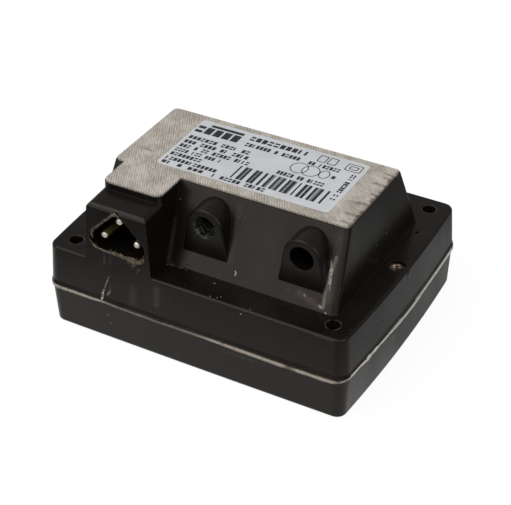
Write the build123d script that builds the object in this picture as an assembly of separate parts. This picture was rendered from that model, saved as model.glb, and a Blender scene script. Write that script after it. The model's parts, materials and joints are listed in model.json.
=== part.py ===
from build123d import *
import os
from math import cos, radians, tan

# Ignition transformer for a burner, cast in a two-part moulded case. Millimetres, +Z up.
# Origin at the centre of the underside, long side along X, sockets facing -Y.

# Case, outside
case_length = 106.0          # at the rim, over the middle of the bowed ends
case_width = 81.5            # at the rim, over the middle of the bowed long sides
case_height = 52.8           # over the top panel
turret_height = 23.3         # from the rim up to the top
seam_height = 14.8           # middle of the sealing bead between the two halves
corner_radius = 3.2          # plan corners at the rim
smallest_corner = 3.0        # plan corners inside a thick wall
end_bow = 1.4                # how far the short sides bulge
side_bow = 0.2               # how far the long sides bulge
case_draft = 3.3             # degrees, upper half, widening down to the seam
rim_radius = 0.8
lip_height = 1.3             # small flare above the seam
lip_out = 0.35
tray_step = 0.45             # how far the tray stands in from the lip
tray_draft = 2.6             # degrees, tray, narrowing down to the underside
foot_radius = 1.2
bead_height = 1.4
bead_proud = 0.2             # bead face, out from the lip
wall = 2.5
floor_thickness = 2.2

# Turret, the raised upper part: insets of its top edges from the case's sides at the rim
turret_end_inset = 12.2
turret_front_inset = 22.2
turret_back_inset = 23.2
turret_shift = 1.2           # its middle, right of the middle of the case
front_slope = 28.0           # degrees from upright
back_slope = 22.5
end_slope = 6.1
turret_corner = 1.7          # corner radius at the top
turret_foot_corner = 2.2     # corner radius at the rim

# Inlet tower at the front left
tower_inset = 27.4           # its middle, in from the case's left end
tower_width = 20.7           # along X, at the top
tower_draft = 4.3            # degrees, side walls
shoulder_depth = 9.8         # from the case's front back to the raised lobe
shoulder_drop = 2.8          # from the top down to the foot of the lobe's front wall
shoulder_slope = 3.5         # degrees, falling to the front
shoulder_radius = 1.8
lobe_corner = 2.4
inlet_floor_drop = 18.6      # from the top down to the lowest line of the opening
inlet_side_height = 5.4      # from there up to where the sides turn into the gable
inlet_half_width = 10.0
inlet_gable = 45.0           # degrees
inlet_corner = 3.6
inlet_apex_radius = 1.6
inlet_depth = 14.0
inlet_back_wall = 2.5

# Contact pins of the inlet
pin_diameter = 2.4
pin_spacing = 11.8
pin_rise = 3.8               # line and neutral pins, above the inlet's floor
earth_pin_rise = 10.5
pin_setback = 2.4            # tips, behind the front face
pin_tail = 5.7               # inner ends, behind the inlet's back wall
pin_tip_chamfer = 0.5

# High-voltage outlets
outlet_tower_gap = 24.05     # from the middle of the tower to the left bore
outlet_end_inset = 21.55     # right bore, in from the case's right end
outlet_drop = 8.3            # from the top down to the axis of the bores
bore_diameter = 8.0
bore_depth = 20.0
nose_setback = 12.4          # upright face, behind the case's front
nose_radius = 6.2
nose_half_foot = 8.0         # half width of the straight lower edge
nose_drop = 10.1             # straight lower edge, below the axis of the bore
nose_edge_radius = 0.7
outlet_tube_diameter = 12.4
outlet_end_wall = 3.5
contact_diameter = 6.0       # seat of the contact in the end wall
contact_clearance = 0.1      # radial, in the seat
contact_thickness = 1.5
contact_tail_diameter = 2.0
contact_tail_length = 1.5    # past the end wall

# Fixing holes through the case
hole_inset_x = 7.8           # from the case's ends
hole_inset_y = 6.4           # from the case's long sides
hole_diameter = 4.4
column_diameter = 11.4

# Earth point on the right flange
earth_inset = 3.8            # from the case's right end
earth_y = 1.1
insert_diameter = 5.4
insert_bore = 3.3
insert_length = 7.0
insert_recess = 1.0
earth_boss_diameter = 8.2
strap_thickness = 0.8
strap_width = 6.0
strap_drop = 6.0             # length of the tab on the core
strap_overrun = 0.6          # past the axis of the insert

# Small vent pit on the right flange
pit_inset = 6.0              # from the case's right end
pit_y = 20.4
pit_diameter = 1.3
pit_depth = 1.0

# Top panel and label: margins of the label from the turret's top edges
panel_thickness = 0.6
panel_inset = 0.2
panel_corner = 1.6
label_left_margin = 13.4
label_right_margin = 9.4
label_front_margin = 4.3
label_back_margin = 2.2
label_corner = 1.5
label_thickness = 0.15

# Laminated core, lying flat
core_end_gap = 15.0          # from the case's ends to the ends of the core
core_stack = 13.0            # height of the pile of sheets
centre_leg = 16.0
outer_leg = 8.0
shunt_thickness = 4.0
shunt_gap = 0.5              # air gap at each end of a shunt

# Coils on the centre leg
leg_clearance = 0.3
former_wall = 1.2
flange_thickness = 1.2
flange_rim = 0.5             # flange, out past the winding
coil_floor_gap = 1.2         # under the flanges
coil_headroom = 1.7          # from the flanges up to the outlet tubes
coil_side_gap = 1.5          # from the flanges to the outer legs
winding_corner = 5.0
primary_length = 20.0
coil_clearance = 0.5         # between coils, shunts and yokes
secondary_ribs = 2           # ribs between chambers of each secondary
rib_thickness = 0.8
crossover_width = 2.4        # slot in each rib for the wire

# Leads
lead_diameter = 1.6
lead_bend = 2.0

# How near to a plane an edge or a corner counts as lying in it
on_plane = 0.05

# Outside, worked out from the above
rim_height = case_height - turret_height
top_face = case_height - panel_thickness
housing_bottom = seam_height + bead_height / 2
tray_top = seam_height - bead_height / 2
lip_top = housing_bottom + lip_height
turret_length = case_length - 2 * turret_end_inset
turret_front = case_width / 2 - turret_front_inset
turret_back = case_width / 2 - turret_back_inset
tower_x = tower_inset - case_length / 2
tower_side = tan(radians(tower_draft))
lobe_front = case_width / 2 - shoulder_depth
shoulder_height = case_height - shoulder_drop

# Inlet, worked out
inlet_floor = case_height - inlet_floor_drop
inlet_shoulder = inlet_floor + inlet_side_height
inlet_mouth = case_width / 2
inlet_back = inlet_mouth - inlet_depth
guard_back = inlet_back - inlet_back_wall
pin_inner_end = guard_back - pin_tail
inlet_pins = {
    "line": (tower_x - pin_spacing / 2, inlet_floor + pin_rise),
    "neutral": (tower_x + pin_spacing / 2, inlet_floor + pin_rise),
    "earth": (tower_x, inlet_floor + earth_pin_rise),
}

# Outlets and earth point, worked out
outlet_x = (tower_x + outlet_tower_gap, case_length / 2 - outlet_end_inset)
outlet_height = case_height - outlet_drop
nose_face = case_width / 2 - nose_setback
nose_foot = outlet_height - nose_drop
bore_end = nose_face - bore_depth
contact_back = bore_end - contact_thickness
tube_end = bore_end - outlet_end_wall
tail_end = tube_end - contact_tail_length
earth_x = case_length / 2 - earth_inset
pit_x = case_length / 2 - pit_inset
insert_top = rim_height - insert_recess
insert_bottom = insert_top - insert_length

# Core and coils, worked out: the coils fill the height under the outlet tubes
former_y = centre_leg / 2 + leg_clearance
former_z = core_stack / 2 + leg_clearance
coil_bottom = floor_thickness + coil_floor_gap
coil_top = outlet_height - outlet_tube_diameter / 2 - coil_headroom
core_middle = (coil_bottom + coil_top) / 2
winding_z = (coil_top - coil_bottom) / 2 - flange_rim
winding_depth = winding_z - former_z - former_wall
winding_y = former_y + former_wall + winding_depth
winding_top = core_middle + winding_z
window = winding_y + flange_rim + coil_side_gap - centre_leg / 2
core_half = case_length / 2 - core_end_gap
core_top = core_middle + core_stack / 2
core_width = centre_leg + 2 * window + 2 * outer_leg
window_end = core_half - outer_leg
secondary_length = window_end - (primary_length + shunt_thickness) / 2 - 2 * coil_clearance
primary_x = -window_end + coil_clearance + primary_length / 2
shunt_x = primary_x + primary_length / 2 + coil_clearance + shunt_thickness / 2
secondary_x = [window_end - coil_clearance - secondary_length * n for n in (1.5, 0.5)]


def case_plan(height, inset):
    """Plan of the case at a height, drawn in by inset: four bowed sides with round corners."""
    middle_x = case_length / 2 - inset
    middle_y = case_width / 2 - inset
    end_x = middle_x - end_bow
    end_y = middle_y - side_bow
    sides = (
        ThreePointArc((end_x, -end_y), (middle_x, 0), (end_x, end_y)),
        ThreePointArc((end_x, end_y), (0, middle_y), (-end_x, end_y)),
        ThreePointArc((-end_x, end_y), (-middle_x, 0), (-end_x, -end_y)),
        ThreePointArc((-end_x, -end_y), (0, -middle_y), (end_x, -end_y)),
    )
    face = make_face(Curve() + [*sides])
    face = fillet(face.vertices(), max(corner_radius - inset, smallest_corner))
    return Pos(0, 0, height) * face


def upper_inset(height):
    """Inset of the drafted side of the upper half: nothing at the rim, outwards below it."""
    return (height - rim_height) * tan(radians(case_draft))


def tray_inset(height):
    """Inset of the tray's side at a height."""
    at_seam = upper_inset(housing_bottom) - lip_out + tray_step
    return at_seam + (tray_top - height) * tan(radians(tray_draft))


def box_between(x0, x1, y0, y1, z0, z1):
    """A block given by its six faces."""
    block = Box(x1 - x0, y1 - y0, z1 - z0)
    return Pos((x0 + x1) / 2, (y0 + y1) / 2, (z0 + z1) / 2) * block


def upright(diameter, x, y, z0, z1):
    """An upright cylinder between two heights."""
    return Pos(x, y, (z0 + z1) / 2) * Cylinder(diameter / 2, z1 - z0)


def along_y(diameter, x, z, front, back):
    """A cylinder lying along Y, given by how far its ends stand in front of the middle."""
    return Pos(x, -(front + back) / 2, z) * Rot(90, 0, 0) * Cylinder(diameter / 2, front - back)


def turret_plan(height, inset, corner):
    """Section of the turret at a height, each side drawn in by its share of the wall."""
    drop = case_height - height
    half_x = turret_length / 2 + drop * tan(radians(end_slope)) - inset / cos(radians(end_slope))
    front = turret_front + drop * tan(radians(front_slope)) - inset / cos(radians(front_slope))
    back = turret_back + drop * tan(radians(back_slope)) - inset / cos(radians(back_slope))
    section = RectangleRounded(2 * half_x, front + back, corner)
    return Pos(turret_shift, (back - front) / 2, height) * section


def tower_plan(height):
    """Section of the inlet tower at a height, from the middle of the case out past its front."""
    width = tower_width + 2 * (case_height - height) * tower_side
    return Pos(tower_x, -case_width / 2, height) * Rectangle(width, case_width)


def upper_envelope():
    """The drafted sides of the upper half above the lip, carried up to the full height."""
    return loft([case_plan(z, upper_inset(z)) for z in (lip_top, top_face)], ruled=True)


def inlet_tower():
    """Tower over the inlet: walls flush with the case front, sloping shoulder, raised lobe."""
    tower = loft([tower_plan(z) for z in (rim_height - wall, top_face)], ruled=True)
    tower = tower & upper_envelope()
    reach = case_width / 2 - lobe_front + wall
    fall = reach * tan(radians(shoulder_slope))
    profile = Polyline(
        (-lobe_front, shoulder_height),
        (-lobe_front - reach, shoulder_height - fall),
        (-lobe_front - reach, case_height + wall),
        (-lobe_front, case_height + wall),
        close=True,
    )
    cutter = extrude(Plane.YZ * make_face(profile), tower_width, both=True)
    tower = tower - Pos(tower_x, 0, 0) * cutter
    lobe_edges = [
        e for e in tower.edges()
        if abs(e.center().Y + lobe_front) < on_plane and abs(e.tangent_at(0.5).Z) > 0.9
    ]
    tower = fillet(lobe_edges, lobe_corner)
    shoulder_edges = [
        e for e in tower.edges()
        if e.center().Y < -lobe_front - lobe_corner
        and rim_height < e.center().Z < shoulder_height
        and abs(e.tangent_at(0.5).Z) < 0.5
    ]
    return fillet(shoulder_edges, shoulder_radius)


def outlet_nose(x):
    """Arched nose round a high-voltage bore, from its upright face back to the middle."""
    rise = outlet_height - nose_foot
    centre = Vector(0, rise)
    foot = Vector(nose_half_foot, 0)
    to_centre = centre - foot
    # The straight flank touches the arch where the radius stands square to it.
    lean = to_centre.length
    along = (lean ** 2 - nose_radius ** 2) ** 0.5
    direction = to_centre.normalized()
    turn = Vector(direction.Y, -direction.X)
    touch = foot + direction * (along ** 2 / lean) + turn * (along * nose_radius / lean)
    outline = [
        Line((-nose_half_foot, 0), (nose_half_foot, 0)),
        Line((nose_half_foot, 0), (touch.X, touch.Y)),
        ThreePointArc((touch.X, touch.Y), (0, rise + nose_radius), (-touch.X, touch.Y)),
        Line((-touch.X, touch.Y), (-nose_half_foot, 0)),
    ]
    face = Plane.XZ * make_face(Curve() + outline)
    nose = extrude(face, nose_face, dir=(0, 1, 0))
    front_edges = [
        e for e in nose.edges()
        if abs(e.center().Y) < on_plane < e.center().Z
    ]
    nose = fillet(front_edges, nose_edge_radius)
    return Pos(x, -nose_face, nose_foot) * nose


def inlet_opening():
    """The inlet's hollow: a gabled opening with round corners, running in from the front."""
    run = inlet_half_width / tan(radians(inlet_gable))
    points = [
        (-inlet_half_width, inlet_floor),
        (inlet_half_width, inlet_floor),
        (inlet_half_width, inlet_shoulder),
        (0, inlet_shoulder + run),
        (-inlet_half_width, inlet_shoulder),
    ]
    face = make_face(Polyline(*points, close=True))
    corners = face.vertices().sort_by(Axis.Y)
    face = fillet(corners[-1], inlet_apex_radius)
    low = [v for v in face.vertices() if abs(v.Y - inlet_floor) < on_plane]
    face = fillet(low, inlet_corner)
    sides = [v for v in face.vertices() if abs(v.Y - inlet_shoulder) < on_plane]
    face = fillet(sides, inlet_apex_radius)
    hollow = extrude(Plane.XZ * face, inlet_depth + wall, dir=(0, 1, 0))
    return Pos(tower_x, -inlet_mouth - wall, 0) * hollow


def hole_places():
    """The four fixing holes."""
    x = case_length / 2 - hole_inset_x
    y = case_width / 2 - hole_inset_y
    return [(-x, -y), (-x, y), (x, -y), (x, y)]


def fixing_holes():
    """Holes right through both halves for the fixing screws."""
    return [upright(hole_diameter, x, y, -wall, case_height) for x, y in hole_places()]


def columns(bottom, top):
    """Columns round the fixing holes between two heights."""
    return [upright(column_diameter, x, y, bottom, top) for x, y in hole_places()]


def outlet_tubes():
    """Closed tubes that carry the high-voltage bores into the case."""
    return [
        along_y(outlet_tube_diameter, x, outlet_height, nose_face - 2 * wall, tube_end)
        for x in outlet_x
    ]


def earth_boss():
    """Boss under the flange that holds the earth insert."""
    return upright(earth_boss_diameter, earth_x, earth_y, insert_bottom, rim_height - wall / 2)


def case_interior():
    """The whole space inside both halves, before anything is put in it."""
    seam_inset = tray_inset(tray_top) + wall
    ceiling = rim_height - wall
    tray_space = loft([
        case_plan(floor_thickness, tray_inset(floor_thickness) + wall),
        case_plan(seam_height, seam_inset),
    ], ruled=True)
    upper_space = loft([
        case_plan(seam_height, seam_inset),
        case_plan(ceiling, upper_inset(ceiling) + wall),
    ], ruled=True)
    turret_space = loft([
        turret_plan(ceiling - wall, wall, turret_foot_corner),
        turret_plan(top_face - wall, wall, turret_corner),
    ], ruled=True)
    space = tray_space + upper_space + turret_space
    low_tower = tower_plan(rim_height).bounding_box()
    guard = box_between(
        low_tower.min.X, low_tower.max.X, -case_width, -guard_back, inlet_floor - wall, case_height
    )
    return space - guard


def upper_housing(interior):
    """Upper half of the case with turret, inlet tower, outlet noses and fixing columns."""
    skirt = upper_envelope() & box_between(
        -case_length, case_length, -case_width, case_width, 0, rim_height
    )
    skirt = fillet(skirt.faces().sort_by(Axis.Z)[-1].edges(), rim_radius)
    lip = loft([
        case_plan(housing_bottom, upper_inset(housing_bottom) - lip_out),
        case_plan(lip_top, upper_inset(lip_top)),
    ], ruled=True)
    turret = loft([
        turret_plan(rim_height - wall, 0, turret_foot_corner),
        turret_plan(top_face, 0, turret_corner),
    ], ruled=True)
    housing = skirt + lip + turret + inlet_tower()
    for x in outlet_x:
        housing += outlet_nose(x)
    housing -= interior
    for piece in outlet_tubes() + columns(seam_height, rim_height - wall / 2) + [earth_boss()]:
        housing += piece
    housing -= inlet_opening()
    for x in outlet_x:
        housing -= along_y(bore_diameter, x, outlet_height, nose_face + wall, bore_end)
        housing -= along_y(contact_diameter, x, outlet_height, bore_end, contact_back)
        housing -= along_y(contact_tail_diameter, x, outlet_height, contact_back, tube_end)
    for x, z in inlet_pins.values():
        housing -= along_y(pin_diameter, x, z, inlet_mouth, pin_inner_end)
    for hole in fixing_holes():
        housing -= hole
    housing -= upright(insert_diameter, earth_x, earth_y, insert_bottom, case_height)
    housing -= upright(pit_diameter, pit_x, pit_y, rim_height - pit_depth, case_height)
    return housing


def base_tray(interior):
    """Lower half of the case: a shallow tray with round lower edges."""
    tray = loft([case_plan(z, tray_inset(z)) for z in (0, tray_top)], ruled=True)
    tray = fillet(tray.faces().sort_by(Axis.Z)[0].edges(), foot_radius)
    tray -= interior
    for column in columns(floor_thickness, seam_height):
        tray += column
    for hole in fixing_holes():
        tray -= hole
    return tray


def seam_bead(interior):
    """Bead of sealing compound squeezed out between the two halves."""
    plan = case_plan(tray_top, upper_inset(housing_bottom) - lip_out - bead_proud)
    bead = extrude(plan, bead_height)
    bead -= interior
    for column in columns(0, case_height) + [earth_boss()]:
        bead -= column
    return bead


def top_plan():
    """Outline of the turret's top with the lobe over the inlet, drawn in by the panel's inset."""
    turret = turret_plan(case_height, panel_inset, panel_corner)
    width = tower_width - 2 * panel_inset
    depth = lobe_front - panel_inset
    lobe = Pos(tower_x, -depth / 2, case_height) * Rectangle(width, depth)
    lobe = fillet(lobe.vertices().sort_by(Axis.Y)[:2], lobe_corner)
    return turret + lobe


def top_panel():
    """Thin board bonded on the top, of the outline of the turret and the lobe."""
    return extrude(top_plan(), -panel_thickness)


def rating_label():
    """Paper label stuck on the board, with nothing raised on it."""
    left = turret_shift - turret_length / 2 + label_left_margin
    right = turret_shift + turret_length / 2 - label_right_margin
    front = label_front_margin - turret_front
    back = turret_back - label_back_margin
    outline = RectangleRounded(right - left, back - front, label_corner)
    label = extrude(outline, label_thickness)
    return Pos((left + right) / 2, (front + back) / 2, case_height) * label


def core_block(x0, x1, y0, y1):
    """A block of core sheets between two X and two Y values."""
    return box_between(x0, x1, y0, y1, core_middle - core_stack / 2, core_top)


def core_e_stack():
    """E-shaped pile of sheets: yoke at the right, three legs running to the left."""
    half = core_width / 2
    stack = core_block(window_end, core_half, -half, half)
    stack += core_block(-window_end, window_end, -centre_leg / 2, centre_leg / 2)
    for side in (-1, 1):
        middle = side * (half - outer_leg / 2)
        stack += core_block(-window_end, window_end, middle - outer_leg / 2, middle + outer_leg / 2)
    return stack


def core_i_stack():
    """I-shaped pile of sheets that closes the open ends of the legs."""
    return core_block(-core_half, -window_end, -core_width / 2, core_width / 2)


def magnetic_shunt(side):
    """Shunt between centre leg and outer leg, which limits the current."""
    near = centre_leg / 2 + shunt_gap
    far = centre_leg / 2 + window - shunt_gap
    y0, y1 = sorted((side * near, side * far))
    return core_block(shunt_x - shunt_thickness / 2, shunt_x + shunt_thickness / 2, y0, y1)


def ring_plate(x, length, half_y, half_z, corner):
    """A plate or block round the centre leg, with the leg's hole through it."""
    section = RectangleRounded(2 * half_y, 2 * half_z, corner)
    plate = extrude(Plane.YZ * section, length / 2, both=True)
    hole = Box(2 * length, 2 * former_y, 2 * former_z)
    return Pos(x, 0, core_middle) * (plate - hole)


def coil_former(x, length, ribs):
    """Moulded former: a square tube with end flanges, and ribs between its chambers."""
    tube_corner = former_wall
    former = ring_plate(x, length, former_y + former_wall, former_z + former_wall, tube_corner)
    rim_y = winding_y + flange_rim
    rim_z = winding_z + flange_rim
    end = (length - flange_thickness) / 2
    for side in (-1, 1):
        former += ring_plate(x + side * end, flange_thickness, rim_y, rim_z, winding_corner)
    slot = box_between(
        -crossover_width / 2, crossover_width / 2, -winding_y - flange_rim,
        -former_y - former_wall,
        core_middle - crossover_width / 2, core_middle + crossover_width / 2,
    )
    for n in range(1, ribs + 1):
        place = x - length / 2 + length * n / (ribs + 1)
        rib = ring_plate(place, rib_thickness, winding_y, winding_z, winding_corner)
        former += rib - Pos(place, 0, 0) * slot
    return former


def coil_winding(x, length, former):
    """Wire wound on a former, filling it between the end flanges."""
    coil = ring_plate(x, length - 2 * flange_thickness, winding_y, winding_z, winding_corner)
    return coil - former


def inlet_pin(name):
    """Round contact pin of the inlet, through its back wall."""
    x, z = inlet_pins[name]
    tip = inlet_mouth - pin_setback
    pin = along_y(pin_diameter, x, z, tip, pin_inner_end)
    end = pin.edges().sort_by(Axis.Y)[0]
    return chamfer(end, pin_tip_chamfer)


def outlet_contact(x):
    """Brass contact in the end wall of a bore: disc flush with the bore's end, tail behind it."""
    disc_diameter = contact_diameter - 2 * contact_clearance
    contact = along_y(disc_diameter, x, outlet_height, bore_end, contact_back)
    return contact + along_y(contact_tail_diameter, x, outlet_height, contact_back, tail_end)


def lead(points, bends):
    """Insulated wire: straight runs joined by arcs, round section."""
    route = FilletPolyline(*points, radius=bends)
    start = Plane(origin=route @ 0, z_dir=route % 0)
    return sweep(start * Circle(lead_diameter / 2), path=route)


def pin_lead(name, arrival):
    """Lead from a mains pin to the top of the primary winding."""
    x, z = inlet_pins[name]
    start_y = -pin_inner_end
    landing = (arrival[0], arrival[1], winding_top)
    above = (arrival[0], arrival[1], z + lead_bend)
    points = [(x, start_y, z), (x, arrival[1] - 2 * lead_bend, z), above, landing]
    return lead(points, lead_bend / 2)


def earth_lead():
    """Lead from the earth pin down to the end stack of the core."""
    x, z = inlet_pins["earth"]
    start_y = -pin_inner_end
    landing_x = -window_end - outer_leg / 2
    landing_y = start_y + 3 * lead_bend
    points = [
        (x, start_y, z),
        (x, landing_y, z),
        (landing_x, landing_y, z),
        (landing_x, landing_y, core_top),
    ]
    return lead(points, lead_bend)


def outlet_lead(x, coil_x):
    """High-voltage lead from a contact's tail down to the top of a secondary winding."""
    start_y = -tail_end
    turn_y = start_y + 2 * lead_bend
    points = [
        (x, start_y, outlet_height),
        (x, turn_y, outlet_height),
        (coil_x, turn_y + lead_bend, outlet_height),
        (coil_x, turn_y + lead_bend, winding_top),
    ]
    return lead(points, lead_bend / 2)


def earth_insert():
    """Threaded metal insert of the earth point, thread left as its core bore."""
    insert = upright(insert_diameter, earth_x, earth_y, insert_bottom, insert_top)
    return insert - upright(insert_bore, earth_x, earth_y, insert_bottom, insert_top)


def earth_strap():
    """Bent strip from the core's yoke to the underside of the earth insert."""
    half = strap_width / 2
    low = insert_bottom - strap_thickness
    strip = box_between(
        core_half, earth_x + strap_overrun, earth_y - half, earth_y + half, low, insert_bottom
    )
    tab = box_between(
        core_half, core_half + strap_thickness, earth_y - half, earth_y + half,
        low - strap_drop, insert_bottom,
    )
    return strip + tab


def potting_resin(interior, pieces):
    """Resin cast round everything inside the case."""
    resin = interior
    for piece in outlet_tubes() + columns(0, case_height) + [earth_boss()] + pieces:
        resin -= piece
    return resin


def inner_pieces():
    """Everything that the resin surrounds, by node name."""
    inside = {
        "core_e_stack": core_e_stack(),
        "core_i_stack": core_i_stack(),
        "magnetic_shunt_front": magnetic_shunt(-1),
        "magnetic_shunt_back": magnetic_shunt(1),
        "primary_former": coil_former(primary_x, primary_length, 0),
        "earth_strap": earth_strap(),
        "lead_line": pin_lead("line", (primary_x - primary_length / 4, -2 * lead_bend)),
        "lead_neutral": pin_lead("neutral", (primary_x + primary_length / 4, -2 * lead_bend)),
        "lead_earth": earth_lead(),
    }
    inside["primary_winding"] = coil_winding(primary_x, primary_length, inside["primary_former"])
    for side, x, coil_x in zip(("left", "right"), outlet_x, secondary_x):
        former = coil_former(coil_x, secondary_length, secondary_ribs)
        inside["secondary_former_" + side] = former
        inside["secondary_winding_" + side] = coil_winding(coil_x, secondary_length, former)
        inside["outlet_contact_" + side] = outlet_contact(x)
        inside["outlet_lead_" + side] = outlet_lead(x, coil_x)
    for name in inlet_pins:
        inside["inlet_pin_" + name] = inlet_pin(name)
    return inside


def transformer():
    """All pieces by node name."""
    interior = case_interior()
    pieces = inner_pieces()
    pieces["potting_resin"] = potting_resin(interior, list(pieces.values()))
    pieces["upper_housing"] = upper_housing(interior)
    pieces["base_tray"] = base_tray(interior)
    pieces["seam_bead"] = seam_bead(interior)
    pieces["top_panel"] = top_panel()
    pieces["rating_label"] = rating_label()
    pieces["earth_insert"] = earth_insert()
    return pieces


os.makedirs("parts", exist_ok=True)
for node, shape in transformer().items():
    export_step(shape, "parts/" + node + ".step")
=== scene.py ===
import json
import logging
import math
from dataclasses import dataclass
from enum import Enum
from typing import Union

import bmesh
import bpy
import numpy as np
from mathutils import Matrix, Vector


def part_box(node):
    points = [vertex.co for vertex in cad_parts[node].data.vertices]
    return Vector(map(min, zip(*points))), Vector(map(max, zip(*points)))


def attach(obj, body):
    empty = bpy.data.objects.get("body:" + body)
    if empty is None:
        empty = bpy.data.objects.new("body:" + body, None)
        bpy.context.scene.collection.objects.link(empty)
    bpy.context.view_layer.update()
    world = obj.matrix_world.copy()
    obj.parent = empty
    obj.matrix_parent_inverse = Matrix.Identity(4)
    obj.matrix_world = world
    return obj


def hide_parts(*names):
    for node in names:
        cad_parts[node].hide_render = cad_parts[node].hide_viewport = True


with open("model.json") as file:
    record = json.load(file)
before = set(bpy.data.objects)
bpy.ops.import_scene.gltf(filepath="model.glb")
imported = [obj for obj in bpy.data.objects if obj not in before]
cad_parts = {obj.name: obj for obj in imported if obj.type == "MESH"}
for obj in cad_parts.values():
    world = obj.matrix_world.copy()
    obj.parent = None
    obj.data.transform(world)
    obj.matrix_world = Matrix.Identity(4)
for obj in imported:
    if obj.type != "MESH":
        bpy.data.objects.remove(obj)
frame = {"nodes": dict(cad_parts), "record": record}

# An ignition transformer in its moulded case. Sizes are in millimetres and become metres in the
# meshes. +X runs along the long side to the right, the sockets face -Y, and the case stands at z 0.

Array = np.ndarray
Colour = tuple[float, float, float]
Point = tuple[float, float, float]
Socket = bpy.types.NodeSocket
Value = Union[float, Socket]

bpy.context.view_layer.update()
MM = 0.001
TURN = 2 * math.pi
POINT_LENGTH = 1e-12     # stands for the squared length of a mark that is a point
LOG = logging.getLogger("transformer")


def tone(red: int, green: int, blue: int) -> Colour:
    """Linear colour of a screen tone: ((v + 0.055) / 1.055) to the power 2.4, or v / 12.92.

    Args:
        red: Red from 0 to 255.
        green: Green from 0 to 255.
        blue: Blue from 0 to 255.

    Returns:
        Three numbers from 0 to 1.
    """
    screen = np.array([red, green, blue]) / 255
    linear = np.where(screen > 0.04045, ((screen + 0.055) / 1.055) ** 2.4, screen / 12.92)
    return tuple(float(v) for v in linear)


def node_box(name: str) -> tuple[Array, Array]:
    """Lowest and highest corner of a node, in millimetres.

    Args:
        name: The node's name in the frame.

    Returns:
        Two arrays of three numbers.
    """
    low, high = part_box(name)
    return np.array(low) / MM, np.array(high) / MM


def mount(name: str) -> dict:
    """The record's mount of that name."""
    return next(m for m in frame["record"]["mounts"] if m["name"] == name)


class Axis(Enum):
    """The three directions of the frame, with their place in a point."""

    X = 0
    Y = 1
    Z = 2


@dataclass(frozen=True)
class Stroke:
    """How a kind of mark looks.

    Fields: share of its reach that is solid, size in millimetres and octaves of the noise that
    breaks it up, the limits between which that noise rises, its least value, and its stretch.
    """

    solid: float
    grain: float
    detail: float
    low: float
    high: float
    least: float = 0.0
    stretch: Union[Point, None] = None


class MarkKind(Enum):
    """The kinds of marks on a surface, each with its stroke."""

    SCRATCH = Stroke(0.55, 0.5, 3.0, 0.38, 0.55)
    SOFT_PATCH = Stroke(0.0, 2.0, 3.0, 0.2, 0.7, least=0.55)
    STREAKS = Stroke(0.0, 0.45, 3.0, 0.42, 0.68, stretch=(1.0, 6.0, 14.0))
    SPECK = Stroke(0.7, 0.3, 2.0, 0.3, 0.45)


# Surfaces on grids


def ripples(places: Array, seed: int, waves: int, longest: float) -> Array:
    """Smooth random heights along a line: a sum of sines that get weaker as they get shorter.

    The formula is the sum over k of sin(2 pi k s / longest + phase k) / sqrt(k), divided by
    twice its usual size, with phases drawn from the seed.

    Args:
        places: Positions along the line.
        seed: Start of the random draws.
        waves: How many sines are added.
        longest: Length of the longest wave, so a closed line takes its whole length.

    Returns:
        Heights of about -1 to 1, one for each place.
    """
    rng = np.random.default_rng(seed)
    order = np.arange(1, waves + 1)
    phase = rng.uniform(0, TURN, waves)
    angle = TURN * places[..., None] * order / longest + phase
    total = (np.sin(angle) / np.sqrt(order)).sum(axis=-1)
    return total / math.sqrt((1 / order).sum() / 2) / 2


def rough_field(first: Array, second: Array, seed: int, waves: int) -> Array:
    """Smooth random heights over a plane of two angles, both closed after a turn.

    The formula is the sum over whole waves (j, k) of cos(j a + k b + phase) / (j + |k|), divided
    by two and a half times its usual size.

    Args:
        first: First angle of each grid point.
        second: Second angle of each grid point.
        seed: Start of the random draws.
        waves: Highest whole wave in each direction.

    Returns:
        Heights of about -1 to 1 on the same grid.
    """
    rng = np.random.default_rng(seed)
    j, k = np.meshgrid(np.arange(1, waves + 1), np.arange(-waves, waves + 1), indexing="ij")
    phase = rng.uniform(0, TURN, j.shape)
    weight = 1 / (j + np.abs(k))
    angle = first[..., None, None] * j + second[..., None, None] * k + phase
    total = (np.cos(angle) * weight).sum(axis=(-1, -2))
    return total / math.sqrt((weight ** 2).sum() / 2) / 2.5


def grid_faces(rows: int, columns: int, wrap_rows: bool) -> Array:
    """Corner numbers of the quads of a grid, row by row; its last column joins the first.

    Args:
        rows: Points along the first parameter.
        columns: Points along the second parameter, once round.
        wrap_rows: Whether the last row joins the first too.

    Returns:
        One row of four corners for each quad.
    """
    i = np.arange(rows if wrap_rows else rows - 1)[:, None]
    j = np.arange(columns)[None, :]
    after_i, after_j = (i + 1) % rows, (j + 1) % columns
    corners = [i * columns + j, after_i * columns + j, after_i * columns + after_j,
               i * columns + after_j]
    return np.stack(np.broadcast_arrays(*corners), axis=-1).reshape(-1, 4)


def repeated(faces: Array, copies: int, stride: int) -> Array:
    """The same faces for each of several copies whose points follow one another.

    Args:
        faces: Four corner numbers for each face of one copy.
        copies: How many copies.
        stride: How many points each copy has.

    Returns:
        The faces of all the copies.
    """
    return (faces[None] + (np.arange(copies) * stride)[:, None, None]).reshape(-1, 4)


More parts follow.
